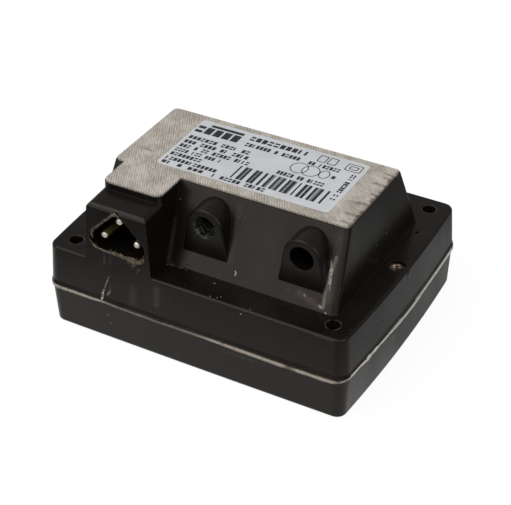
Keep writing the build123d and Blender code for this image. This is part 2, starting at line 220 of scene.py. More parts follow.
def make_object(name: str, points: Array, faces: Array) -> bpy.types.Object:
    """A mesh object at the origin with merged doubles, outward faces and smooth shading.

    Args:
        name: Name of the piece.
        points: Corner places in millimetres, in an array whose last axis is three long.
        faces: Four corner numbers for each face.

    Returns:
        The new object, linked into the scene.
    """
    mesh = bpy.data.meshes.new(name)
    mesh.from_pydata((points.reshape(-1, 3) * MM).tolist(), [], faces.tolist())
    work = bmesh.new()
    work.from_mesh(mesh)
    bmesh.ops.remove_doubles(work, verts=work.verts, dist=1e-7)
    bmesh.ops.recalc_face_normals(work, faces=work.faces)
    work.to_mesh(mesh)
    work.free()
    mesh.shade_smooth()
    mesh.set_sharp_from_angle(angle=math.radians(35))
    piece = bpy.data.objects.new(name, mesh)
    bpy.context.scene.collection.objects.link(piece)
    return piece


def surface_object(name: str, points: Array, wrap_rows: bool = False) -> bpy.types.Object:
    """An object from one surface given as a grid of points, closed along its columns.

    Args:
        name: Name of the piece.
        points: Places of shape rows, columns, three, in millimetres.
        wrap_rows: Whether the last row joins the first.

    Returns:
        The new object.
    """
    return make_object(name, points, grid_faces(*points.shape[:2], wrap_rows))


def crumbs(name: str, centres: Array, sizes: Array, seed: int) -> bpy.types.Object:
    """Loose crumbs: balls squeezed and dented by a rough field.

    At angles a round and b from pole to pole the radius is size (1 + dent field(a, b) sin b).

    Args:
        name: Name of the piece.
        centres: Their middles, of shape crumbs, three.
        sizes: Their radii.
        seed: Start of the random draws.

    Returns:
        All of them as one object.
    """
    sides, stations, dent = 12, 8, 0.35
    rng = np.random.default_rng(seed)
    around = np.linspace(0, TURN, sides, endpoint=False)[None, :]
    pole = np.linspace(0, math.pi, stations)[:, None]
    dents = [rough_field(around + n, 2 * pole, seed + n, 3) for n in range(len(sizes))]
    radius = sizes[:, None, None] * (1 + dent * np.stack(dents) * np.sin(pole))
    squeeze = rng.uniform(0.6, 1.3, (len(sizes), 1, 1, 3))
    ball = np.stack(np.broadcast_arrays(
        np.sin(pole) * np.cos(around), np.sin(pole) * np.sin(around), np.cos(pole)), axis=-1)
    points = centres[:, None, None, :] + radius[..., None] * ball * squeeze
    faces = repeated(grid_faces(stations, sides, False), len(sizes), stations * sides)
    return make_object(name, points, faces)


def plates(bars: Array, bottom: float, top: float) -> tuple[Array, Array]:
    """Flat upright boxes: each bar's four plan corners at the bottom and at the top.

    Args:
        bars: Plan corners of shape bars, four, two.
        bottom: Height of the undersides.
        top: Height of the upper sides.

    Returns:
        Points of shape bars, eight, three, and the corner numbers of all six sides of each.
    """
    count = len(bars)
    low = np.concatenate([bars, np.full((count, 4, 1), bottom)], axis=-1)
    high = np.concatenate([bars, np.full((count, 4, 1), top)], axis=-1)
    box = np.array([[3, 2, 1, 0], [4, 5, 6, 7], [0, 1, 5, 4], [1, 2, 6, 5], [2, 3, 7, 6],
                    [3, 0, 4, 7]])
    return np.concatenate([low, high], axis=1), repeated(box, count, 8)


def rectangles(left: Array, right: Array, low: Array, high: Array) -> Array:
    """Plan corners of rectangles.

    Args:
        left: Their least x.
        right: Their greatest x.
        low: Their least y.
        high: Their greatest y.

    Returns:
        Corners of shape rectangles, four, two, anticlockwise.
    """
    corners = [left, low, right, low, right, high, left, high]
    return np.stack(corners, axis=-1).reshape(-1, 4, 2)


def rounded_outline(half_x: float, half_y: float, radius: float, count: int) -> Array:
    """Evenly spaced points on a rounded rectangle round the origin, anticlockwise.

    Four corner centres, each with a quarter circle of the radius; the straight sides are the
    jumps between them. The closed line is then divided into equal lengths.

    Args:
        half_x: Half the length along X.
        half_y: Half the length along Y.
        radius: Radius of the corners.
        count: How many points.

    Returns:
        Points of shape count, two.
    """
    start = np.arange(4)[:, None] * math.pi / 2
    angle = start + np.linspace(0, math.pi / 2, 24)
    side_x = np.array([1, -1, -1, 1])[:, None] * (half_x - radius)
    side_y = np.array([1, 1, -1, -1])[:, None] * (half_y - radius)
    x = (side_x + radius * np.cos(angle)).ravel()
    y = (side_y + radius * np.sin(angle)).ravel()
    x, y = np.append(x, x[0]), np.append(y, y[0])
    along = np.append(0, np.cumsum(np.hypot(np.diff(x), np.diff(y))))
    places = np.linspace(0, along[-1], count, endpoint=False)
    return np.stack([np.interp(places, along, x), np.interp(places, along, y)], axis=-1)


# Materials from nodes


class Nodes:
    """A node tree, with one short method for each kind of sum that it holds."""

    def __init__(self, tree: bpy.types.NodeTree) -> None:
        """Start with an empty tree.

        Args:
            tree: The tree of a material or of the world.
        """
        self.tree = tree
        self.tree.nodes.clear()

    def add(self, kind: str, **settings: object) -> bpy.types.Node:
        """A new node.

        Args:
            kind: Name of its type.
            **settings: Its settings by name.

        Returns:
            The node.
        """
        node = self.tree.nodes.new(kind)
        for key, value in settings.items():
            setattr(node, key, value)
        return node

    def plug(self, socket: Socket, value: object) -> None:
        """Link a socket to another node, or set its own value.

        Args:
            socket: The socket.
            value: A socket of another node, or a number, vector or colour.
        """
        if isinstance(value, bpy.types.NodeSocket):
            self.tree.links.new(value, socket)
        elif isinstance(value, tuple) and len(value) == 3 and socket.type == "RGBA":
            socket.default_value = (*value, 1.0)
        else:
            socket.default_value = value

    def math(self, operation: str, first: Value, second: Value = 0.0,
             clamp: bool = False) -> Socket:
        """One sum on one or two numbers.

        Args:
            operation: Name of the sum.
            first: First number.
            second: Second number.
            clamp: Whether the result is held to 0 and 1.

        Returns:
            The result.
        """
        node = self.add("ShaderNodeMath", operation=operation, use_clamp=clamp)
        self.plug(node.inputs[0], first)
        self.plug(node.inputs[1], second)
        return node.outputs[0]

    def product(self, *values: Value) -> Socket:
        """All the numbers multiplied.

        Args:
            *values: The numbers.

        Returns:
            The result.
        """
        total = values[0]
        for value in values[1:]:
            total = self.math("MULTIPLY", total, value)
        return total

    def vector(self, operation: str, first: object, second: object = (0.0, 0.0, 0.0)) -> Socket:
        """One sum on one or two vectors.

        Args:
            operation: Name of the sum.
            first: First vector.
            second: Second vector.

        Returns:
            A vector, or a number where the sum gives one.
        """
        node = self.add("ShaderNodeVectorMath", operation=operation)
        self.plug(node.inputs[0], first)
        self.plug(node.inputs[1], second)
        one_number = operation in ("LENGTH", "DISTANCE", "DOT_PRODUCT")
        return node.outputs["Value" if one_number else "Vector"]

    def ramp(self, value: Socket, low: float, high: float, bottom: float = 0.0,
             top: float = 1.0, course: str = "SMOOTHSTEP") -> Socket:
        """A step from one number to another between two limits.

        Args:
            value: The number that passes the limits.
            low: Where the step starts.
            high: Where it ends.
            bottom: Result up to the start.
            top: Result from the end on.
            course: SMOOTHSTEP or LINEAR.

        Returns:
            The result.
        """
        node = self.add("ShaderNodeMapRange", interpolation_type=course)
        self.plug(node.inputs["Value"], value)
        for name, number in zip(("From Min", "From Max", "To Min", "To Max"),
                                (low, high, bottom, top)):
            node.inputs[name].default_value = number
        return node.outputs["Result"]

    def between(self, share: Value, first: Value, second: Value) -> Socket:
        """A number between two numbers.

        Args:
            share: How much of the second, from 0 to 1.
            first: First number.
            second: Second number.

        Returns:
            The result.
        """
        node = self.add("ShaderNodeMix", data_type="FLOAT")
        self.plug(node.inputs[0], share)
        self.plug(node.inputs[2], first)
        self.plug(node.inputs[3], second)
        return node.outputs[0]

    def camera_rays(self) -> Socket:
        """One for camera rays."""
        return self.add("ShaderNodeLightPath").outputs["Is Camera Ray"]

    def gloss_rays(self) -> Socket:
        """One for glossy and transmission rays, nothing for the rest."""
        path = self.add("ShaderNodeLightPath").outputs
        return self.math("MAXIMUM", path["Is Glossy Ray"], path["Is Transmission Ray"])


class Graph(Nodes):
    """A material's nodes, with methods for the patterns that the finishes use.

    The two limits of the edge mask say from how near to an edge a place counts as on the edge and
    from where on fully, as shares of rays that leave the solid; the other value is half the width
    of a ring's soft edge in millimetres.
    """

    edge_mask_starts = 0.22
    edge_mask_full = 0.6
    ring_edge = 0.12

    def __init__(self, name: str) -> None:
        """Start an empty material whose patterns read Object coordinates.

        Args:
            name: Name of the material.
        """
        self.material = bpy.data.materials.new(name)
        self.material.use_nodes = True
        super().__init__(self.material.node_tree)
        self.place = self.add("ShaderNodeTexCoord").outputs["Object"]

    def along(self, axis: Axis) -> Socket:
        """The place along one direction, in metres.

        Args:
            axis: The direction.

        Returns:
            The place.
        """
        node = self.add("ShaderNodeSeparateXYZ")
        self.plug(node.inputs[0], self.place)
        return node.outputs[axis.value]

    def stretched(self, stretch: Point, turn: float = 0.0) -> Socket:
        """Coordinates for a pattern with a direction.

        Args:
            stretch: How much longer the pattern gets along X, Y and Z.
            turn: How far it is turned round Z, in degrees.

        Returns:
            The coordinates.
        """
        node = self.add("ShaderNodeMapping", vector_type="TEXTURE")
        self.plug(node.inputs["Vector"], self.place)
        node.inputs["Rotation"].default_value = (0.0, 0.0, math.radians(turn))
        node.inputs["Scale"].default_value = stretch
        return node.outputs["Vector"]

    def noise(self, size: float, detail: float = 2.0,
              where: Union[Socket, None] = None) -> Socket:
        """Cloudy noise.

        Args:
            size: Size of its clouds in millimetres.
            detail: Octaves.
            where: Coordinates, or none for the plain ones.

        Returns:
            A number from 0 to 1.
        """
        node = self.add("ShaderNodeTexNoise")
        self.plug(node.inputs["Vector"], where or self.place)
        node.inputs["Scale"].default_value = 1 / (size * MM)
        node.inputs["Detail"].default_value = detail
        return node.outputs[0]

    def cells(self, size: float) -> tuple[Socket, Socket]:
        """Random cells.

        Args:
            size: Distance between them in millimetres.

        Returns:
            The distance from the cell's middle as a share of its size, and the cell's colour.
        """
        node = self.add("ShaderNodeTexVoronoi")
        self.plug(node.inputs["Vector"], self.place)
        node.inputs["Scale"].default_value = 1 / (size * MM)
        return node.outputs["Distance"], node.outputs["Color"]

    def wave(self, pitch: float, turn: float, bend: float, detail: float) -> Socket:
        """Straight ridges in the plan.

        Args:
            pitch: Distance between ridges in millimetres.
            turn: Direction of travel across them, in degrees from +X.
            bend: How much they wander.
            detail: Octaves of the wandering.

        Returns:
            A number from 0 to 1.
        """
        node = self.add("ShaderNodeTexWave", wave_type="BANDS", bands_direction="X")
        self.plug(node.inputs["Vector"], self.stretched((1.0, 1.0, 1.0), turn))
        node.inputs["Scale"].default_value = math.pi / 10 / (pitch * MM)
        node.inputs["Distortion"].default_value = bend
        node.inputs["Detail"].default_value = detail
        return node.outputs["Fac"]

    def outer_edges(self, reach: float) -> Socket:
        """Outer edges, from 0 on flat places to 1: rays sent inwards leave the solid nearby.

        Args:
            reach: Distance that counts as near, in millimetres.

        Returns:
            The mask.
        """
        node = self.add("ShaderNodeAmbientOcclusion", inside=True, only_local=True, samples=6)
        node.inputs["Distance"].default_value = reach * MM
        left = self.math("SUBTRACT", 1.0, node.outputs["AO"])
        return self.ramp(left, self.edge_mask_starts, self.edge_mask_full)

    def hole_rings(self, middle: tuple[float, float], inner: float, outer: float) -> Socket:
        """Rings round four upright holes: one where the distance from an axis is between radii.

        Args:
            middle: Plan place of one axis in millimetres; the others are its mirror images.
            inner: Smaller radius.
            outer: Greater radius.

        Returns:
            The mask.
        """
        across = []
        for axis, centre in zip((Axis.X, Axis.Y), middle):
            where = self.math("ABSOLUTE", self.along(axis))
            offset = self.math("SUBTRACT", where, centre * MM)
            across.append(self.math("MULTIPLY", offset, offset))
        radius = self.math("SQRT", self.math("ADD", *across))
        soft = self.ring_edge * MM
        rise = self.ramp(radius, inner * MM - soft, inner * MM + soft)
        fall = self.ramp(radius, outer * MM - soft, outer * MM + soft, 1.0, 0.0)
        return self.math("MULTIPLY", rise, fall)

    def blend(self, share: Value, first: object, second: object) -> Socket:
        """A colour between two colours.

        Args:
            share: How much of the second, from 0 to 1.
            first: First colour.
            second: Second colour.

        Returns:
            The colour.
        """
        node = self.add("ShaderNodeMix", data_type="RGBA")
        self.plug(node.inputs[0], share)
        self.plug(node.inputs[6], first)
        self.plug(node.inputs[7], second)
        return node.outputs[2]

    def bump(self, height: Socket, depth: float, under: Union[Socket, None] = None) -> Socket:
        """A normal bent by a height.

        Args:
            height: A number from 0 to 1.
            depth: What one stands for, in millimetres.
            under: A normal that is bent already.

        Returns:
            The new normal.
        """
        node = self.add("ShaderNodeBump")
        node.inputs["Distance"].default_value = depth * MM
        self.plug(node.inputs["Height"], height)
        if under is not None:
            self.plug(node.inputs["Normal"], under)
        return node.outputs["Normal"]

    def near_line(self, start: Point, end: Point) -> Socket:
        """Distance from the straight piece between two points.

        The share h of the way is dot(p - a, b - a) / |b - a|^2, held to 0 and 1, and the
        distance is |p - a - h (b - a)|.

        Args:
            start: The point a, in millimetres.
            end: The point b, in millimetres.

        Returns:
            The distance in metres.
        """
        first, step = np.array(start) * MM, (np.array(end) - np.array(start)) * MM
        reach = max(float(step @ step), POINT_LENGTH)
        offset = self.vector("SUBTRACT", self.place, tuple(first))
        share = self.math("DIVIDE", self.vector("DOT_PRODUCT", offset, tuple(step)), reach, True)
        scaled = self.add("ShaderNodeVectorMath", operation="SCALE")
        scaled.inputs[0].default_value = tuple(step)
        self.plug(scaled.inputs["Scale"], share)
        return self.vector("DISTANCE", offset, scaled.outputs["Vector"])

    def surface(self, colour: object, roughness: Value, normal: Union[Socket, None] = None,
                **fixed: object) -> bpy.types.Material:
        """The finished material.

        Args:
            colour: Base colour.
            roughness: Roughness.
            normal: Bent normal, or none.
            **fixed: Other inputs of the shader by name, with _ for a space.

        Returns:
            The material.
        """
        shader = self.add("ShaderNodeBsdfPrincipled")
        self.plug(shader.inputs["Base Color"], colour)
        self.plug(shader.inputs["Roughness"], roughness)
        if normal is not None:
            self.plug(shader.inputs["Normal"], normal)
        for key, number in fixed.items():
            shader.inputs[key.replace("_", " ")].default_value = number
        output = self.add("ShaderNodeOutputMaterial")
        self.plug(output.inputs["Surface"], shader.outputs[0])
        return self.material


@dataclass(frozen=True)
class Mark:
    """A mark along a straight line on a surface: wear in most places, a painted highlight in a few.

    Fields: kind, line from start to end in millimetres, reach to each side, colour, and
    strength from 0 to 1.
    """

    kind: MarkKind
    start: Point
    end: Point
    reach: float
    colour: Colour
    strength: float = 1.0

    def mask(self, graph: Graph) -> Socket:
        """Where the mark shows, from 0 to 1.

        Args:
            graph: The material it is in.

        Returns:
            The mask.
        """
        stroke, reach = self.kind.value, self.reach * MM
        distance = graph.near_line(self.start, self.end)
        shape = graph.ramp(distance, stroke.solid * reach, reach, 1.0, 0.0)
        where = graph.stretched(stroke.stretch) if stroke.stretch else None
        noise = graph.noise(stroke.grain, stroke.detail, where)
        breaks = graph.ramp(noise, stroke.low, stroke.high, stroke.least)
        return graph.product(shape, breaks, self.strength)


@dataclass(frozen=True)
class MouldedPlastic:
    """Dark satin moulding: mottled colour, fine grain, dust, pale edges (partly wear, partly
    painted highlight) and its marks.

    Fields: name, the two tones of the mottling, tones of dust and of the pale edges, specular
    level, least and greatest roughness, marks, tint of the gloss, plan places of holes (mirrored),
    radii and strength of the worn rings round them, strength of the pale edges and how far they
    reach, radius that edges look rounded by, and distance between dust specks. Then sizes in
    millimetres: of the mottling, of the chips that break up the pale edges and rings, of the clouds
    in the gloss, and of the grain and the long waves of the relief, each with its depth.
    """

    name: str
    dark: Colour
    light: Colour
    dust: Colour
    worn: Colour
    specular: float
    smooth: float
    rough: float
    marks: tuple[Mark, ...] = ()
    sheen: Colour = (1.0, 0.91, 0.82)
    holes: tuple[tuple[float, float], ...] = ()
    ring_radii: tuple[float, float] = (2.25, 2.6)
    ring_wear: float = 0.6
    pale_edge_strength: float = 0.5
    edge_reach: float = 0.5
    edge_radius: float = 0.25
    dust_spacing: float = 2.3
    mottle_size: float = 9.0
    chip_size: float = 1.7
    cloud_size: float = 14.0
    grain_size: float = 0.55
    grain_depth: float = 0.010
    wave_size: float = 11.0
    wave_depth: float = 0.08

    def specks(self, g: Graph) -> Socket:
        """Scattered specks of dust: a few cells hold one, with its own size and strength.

        Args:
            g: The material they are in.

        Returns:
            The mask.
        """
        distance, cell = g.cells(self.dust_spacing)
        chosen = g.add("ShaderNodeSeparateColor")
        g.plug(chosen.inputs[0], cell)
        size = g.ramp(chosen.outputs[0], 0.62, 1.0, 0.0, 0.095)
        speck = g.math("LESS_THAN", distance, size)
        return g.product(speck, g.ramp(chosen.outputs[1], 0.0, 1.0, 0.10, 0.55))

    def build(self) -> bpy.types.Material:
        """Put the nodes together, with the marks laid over the colour one after the other.

        Returns:
            The material.
        """
        g = Graph(self.name)
        mottle = g.ramp(g.noise(self.mottle_size, 4.0), 0.35, 0.68)
        colour = g.blend(mottle, self.dark, self.light)
        breaks = g.ramp(g.noise(self.chip_size, 4.0), 0.36, 0.66)
        # The pale convex edges are partly wear and partly a painted highlight along the rims.
        edges = g.product(g.outer_edges(self.edge_reach), breaks, self.pale_edge_strength)
        for middle in self.holes:
            ring = g.hole_rings(middle, *self.ring_radii)
            edges = g.math("MAXIMUM", edges, g.product(ring, breaks, self.ring_wear))
        colour = g.blend(edges, colour, self.worn)
        dust = self.specks(g)
        colour = g.blend(dust, colour, self.dust)
        # The roughness rises on dust and on every mark, the painted highlight bands included.
        worn: Value = dust
        for mark in self.marks:
            mask = mark.mask(g)
            colour = g.blend(mask, colour, mark.colour)
            worn = g.math("MAXIMUM", worn, mask)
        cloud = g.noise(self.cloud_size, 3.0, g.stretched((1.0, 1.0, 2.5)))
        polish = g.ramp(cloud, 0.3, 0.7, self.smooth, self.rough)
        roughness = g.math("ADD", polish, g.math("MULTIPLY", worn, 0.3), True)
        edge = g.add("ShaderNodeBevel", samples=4)
        edge.inputs["Radius"].default_value = self.edge_radius * MM
        grain = g.bump(g.noise(self.grain_size, 3.0), self.grain_depth, edge.outputs[0])
        waves = g.bump(g.noise(self.wave_size, 1.0), self.wave_depth, grain)
        return g.surface(colour, roughness, waves, Specular_IOR_Level=self.specular,
                         Specular_Tint=(*self.sheen, 1.0))


@dataclass(frozen=True)
class SealingCompound:
    """Pale matt compound with dark dirt and pores, greasy in front of the inlet.

    Fields: name, the tones of clean, dirty and greasy compound and of the paler right side; the
    greasy stretch's middle along X, half its length, how far it fades and its strength; between
    which two places along Y the front fades; and the place, the fade and the strength of the
    right side.
    """

    name: str = "sealing_compound"
    pale: Colour = tone(186, 176, 163)
    dirty: Colour = tone(116, 106, 95)
    greasy: Colour = tone(104, 98, 91)
    paler_right: Colour = tone(250, 246, 238)
    grease_middle: float = -13.0
    grease_reach: float = 22.0
    grease_fade: float = 7.0
    grease_strength: float = 0.8
    front: tuple[float, float] = (-38.0, -30.0)
    right_side: float = 52.4
    right_fade: float = 1.0
    right_strength: float = 0.85

    def build(self) -> bpy.types.Material:
        """Put the nodes of the finish together.

        Returns:
            The material.
        """
        g = Graph(self.name)
        patches = g.ramp(g.noise(4.5, 4.0), 0.30, 0.56)
        colour = g.blend(patches, self.dirty, self.pale)
        away = g.math("ABSOLUTE", g.math("SUBTRACT", g.along(Axis.X), self.grease_middle * MM))
        darkening = g.ramp(away, (self.grease_reach - self.grease_fade) * MM,
                        self.grease_reach * MM, self.grease_strength, 0.0)
        front = g.ramp(g.along(Axis.Y), self.front[0] * MM, self.front[1] * MM, 1.0, 0.0)
        colour = g.blend(g.product(darkening, front), colour, self.greasy)
        # The bead turns much paler along the right side, from x 52.4 on.
        right = g.ramp(g.along(Axis.X), self.right_side * MM,
                       (self.right_side + self.right_fade) * MM)
        colour = g.blend(g.math("MULTIPLY", right, self.right_strength), colour, self.paler_right)
        grain = g.noise(0.35, 3.0)
        colour = g.blend(g.ramp(grain, 0.3, 0.5, 0.4, 0.0), colour, self.dirty)
        return g.surface(colour, 0.85, g.bump(grain, 0.08), Specular_IOR_Level=0.3)


@dataclass(frozen=True)
class WovenBoard:
    """Grey board with a slanting weave, cloudy tone, brown smears and dark right edge.

    The threads run at one slant left of the turn and at a flatter one right of it. Fields: name,
    the tones of thread, gap and smear, distance between threads and their slant (degrees across
    them, from +X) left and right, where the slant changes and how far to each side it does, how
    much the threads wander, strength of the cloudy tone and of the grit, where the dark edge
    starts and is full past the board's end, how ragged it is and its strength, and the smears.
    """

    name: str = "grey_board"
    light: Colour = tone(211, 204, 193)
    shade: Colour = tone(144, 137, 128)
    brown: Colour = tone(74, 62, 52)
    pitch: float = 0.76
    slant: float = 27.0
    pitch_right: float = 0.62
    slant_right: float = 54.0
    change: float = 22.0
    change_reach: float = 6.0
    wander: float = 0.9
    clouds: float = 0.20
    grit: float = 0.18
    edge_starts: float = 0.3
    edge_full: float = 1.5
    edge_ragged: float = 3.0
    edge_strength: float = 0.85
    smears: tuple[Mark, ...] = ()

    def threads(self, g: Graph, pitch: float, slant: float) -> Socket:
        """Ridges across the slant, broken up by fainter ones along it and by short fibres.

        Args:
            g: The material they are in.
            pitch: Distance between the ridges.
            slant: Direction across them, in degrees from +X.

        Returns:
            Their height, from 0 to 1.
        """
        ridge = g.wave(pitch, slant, self.wander, 3.0)
        cross = g.wave(pitch * 0.8, slant - 90, self.wander, 3.0)
        fibres = g.ramp(g.noise(0.9, 2.0, g.stretched((0.35, 2.6, 1.0), slant)), 0.32, 0.68)
        total = g.math("ADD", g.math("MULTIPLY", ridge, 0.45), g.math("MULTIPLY", cross, 0.15))
        return g.math("ADD", total, g.math("MULTIPLY", fibres, 0.4))

    def build(self) -> bpy.types.Material:
        """Put the nodes of the finish together.

        Returns:
            The material.
        """
        g = Graph(self.name)
        right = g.ramp(g.along(Axis.X), (self.change - self.change_reach) * MM,
                       (self.change + self.change_reach) * MM)
        left_threads = self.threads(g, self.pitch, self.slant)
        right_threads = self.threads(g, self.pitch_right, self.slant_right)
        keep = g.math("SUBTRACT", 1.0, right)
        weave = g.math("ADD", g.math("MULTIPLY", left_threads, keep),
                       g.math("MULTIPLY", right_threads, right))
        cloud = g.ramp(g.noise(6.0, 4.0), 0.3, 0.7, -self.clouds, self.clouds)
        grit = g.ramp(g.noise(0.4, 3.0), 0.3, 0.7, -self.grit, self.grit)
        share = g.math("ADD", g.math("ADD", weave, cloud), grit, True)
        colour = g.blend(share, self.shade, self.light)
        for soft_patch in self.smears:
            colour = g.blend(soft_patch.mask(g), colour, soft_patch.colour)
        _, high = node_box("top_panel")
        ragged = g.math("MULTIPLY", g.noise(1.8, 4.0), self.edge_ragged * MM)
        near_edge = g.math("ADD", g.along(Axis.X), ragged)
        dark_edge = g.ramp(near_edge, (high[0] + self.edge_starts) * MM,
                           (high[0] + self.edge_full) * MM)
        colour = g.blend(g.math("MULTIPLY", dark_edge, self.edge_strength), colour, self.brown)
        return g.surface(colour, 0.8, g.bump(weave, 0.05), Specular_IOR_Level=0.25)


@dataclass(frozen=True)
class LabelStock:
    """Smooth bluish-white label paper with faint soiling: its name and two tones."""

    name: str = "label_paper"
    paper: Colour = tone(213, 216, 219)
    soiled: Colour = tone(200, 203, 205)

    def build(self) -> bpy.types.Material:
        """Put the nodes of the finish together.

        Returns:
            The material.
        """
        g = Graph(self.name)
        cloud = g.ramp(g.noise(9.0, 3.0), 0.35, 0.7)
        fibre = g.noise(0.25, 2.0)
        colour = g.blend(g.math("MULTIPLY", cloud, 0.6), self.paper, self.soiled)
        return g.surface(colour, 0.42, g.bump(fibre, 0.004), Specular_IOR_Level=0.4)


@dataclass(frozen=True)
class PrintInk:
    """Printed ink, a little thin in places: its name and its full and thin tones."""

    name: str
    ink: Colour
    worn: Colour

    def build(self) -> bpy.types.Material:
        """Put the nodes of the finish together.

        Returns:
            The material.
        """
        g = Graph(self.name)
        thin = g.ramp(g.noise(0.5, 3.0), 0.45, 0.7)
        colour = g.blend(g.math("MULTIPLY", thin, 0.55), self.ink, self.worn)
        return g.surface(colour, 0.5, Specular_IOR_Level=0.3)


@dataclass(frozen=True)
class Metal:
    """Metal with patches of tarnish and fine pitting.

    Fields: name, tones of the metal and of its tarnish, share that is tarnished, roughness of
    the two, size of the patches, and depth of the pitting.
    """

    name: str
    clean: Colour
    tarnish: Colour
    cover: float
    smooth: float
    rough: float
    patch: float = 1.4
    depth: float = 0.02

    def build(self) -> bpy.types.Material:
        """Put the nodes together; tarnish is rougher than the clean metal.

        Returns:
            The material.
        """
        g = Graph(self.name)
        patches = g.ramp(g.noise(self.patch, 4.0), 0.62 - 0.3 * self.cover, 0.72 - 0.3 * self.cover)
        colour = g.blend(patches, self.clean, self.tarnish)
        roughness = g.ramp(patches, 0.0, 1.0, self.smooth, self.rough)
        fine = g.noise(0.2, 3.0)
        return g.surface(colour, roughness, g.bump(fine, self.depth), Metallic=1.0)


@dataclass(frozen=True)
class PinPlating:
    """Plated pin: bright at its tip, brown-green tarnish on its shaft.

    Fields: name, tones of the tip and the shaft, where the tarnish starts and is full along Y,
    and how far its start wanders.
    """

    name: str
    tip: Colour
    shaft: Colour
    starts: float
    full: float
    wander: float = 1.0

    def build(self) -> bpy.types.Material:
        """Put the nodes of the finish together.

        Returns:
            The material.
        """
        g = Graph(self.name)
        wander = g.math("MULTIPLY", g.noise(1.1, 3.0), self.wander * MM)
        depth = g.math("ADD", g.along(Axis.Y), wander)
        share = g.ramp(depth, self.starts * MM, self.full * MM)
        colour = g.blend(share, self.tip, self.shaft)
        roughness = g.ramp(share, 0.0, 1.0, 0.3, 0.45)
        fine = g.noise(0.25, 2.0, g.stretched((1.0, 8.0, 1.0)))
        return g.surface(colour, roughness, g.bump(fine, 0.015), Metallic=0.75)


@dataclass(frozen=True)
class Dull:
    """A plain rigid or rubbery stock with cloudy tone and grain.

    Fields: name, its two tones, roughness, size and depth of the grain, and size of the clouds.
    """

    name: str
    light: Colour
    dark: Colour
    roughness: float
    grain: float = 0.5
    depth: float = 0.02
    patch: float = 4.0

    def build(self) -> bpy.types.Material:
        """Put the nodes of the finish together.

        Returns:
            The material.
        """
        g = Graph(self.name)
        colour = g.blend(g.ramp(g.noise(self.patch, 3.0), 0.35, 0.65), self.light, self.dark)
        fine = g.noise(self.grain, 3.0)
        return g.surface(colour, self.roughness, g.bump(fine, self.depth))


@dataclass(frozen=True)
class Layered:
    """Sheets or turns that lie beside each other: narrow dark lines between bright ones.

    Fields: name, tones of a sheet and of the gap, distance between gaps, the direction across
    them, how metallic it is and its roughness.
    """

    name: str
    bright: Colour
    gap: Colour
    pitch: float
    axis: Axis
    metallic: float
    roughness: float

    def build(self) -> bpy.types.Material:
        """Put the nodes together: a triangle wave along one axis makes lines and relief.

        Returns:
            The material.
        """
        g = Graph(self.name)
        steps = g.math("DIVIDE", g.along(self.axis), self.pitch * MM)
        sweep = g.math("PINGPONG", steps, 0.5)
        line = g.ramp(sweep, 0.02, 0.14)
        tint = g.ramp(g.noise(3.0, 3.0), 0.3, 0.7, 0.8, 1.0)
        colour = g.blend(g.math("MULTIPLY", line, tint), self.gap, self.bright)
        relief = g.bump(line, 0.06)
        return g.surface(colour, self.roughness, relief, Metallic=self.metallic)


def dress(piece: bpy.types.Object, material: bpy.types.Material) -> None:
    """Give an object one material over all its faces."""
    piece.data.materials.clear()
    piece.data.materials.append(material)


def place(piece: bpy.types.Object, slot: str, *replaced: str) -> bpy.types.Object:
    """Tie a new piece to the frame.

    Args:
        piece: The piece.
        slot: Not used.
        *replaced: Nodes that it stands for.

    Returns:
        The same piece.
    """
    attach(piece, "root")
    if replaced:
        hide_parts(*replaced)
    LOG.info("%s: %d faces", piece.name, len(piece.data.polygons))
    return piece


# The sub-assemblies


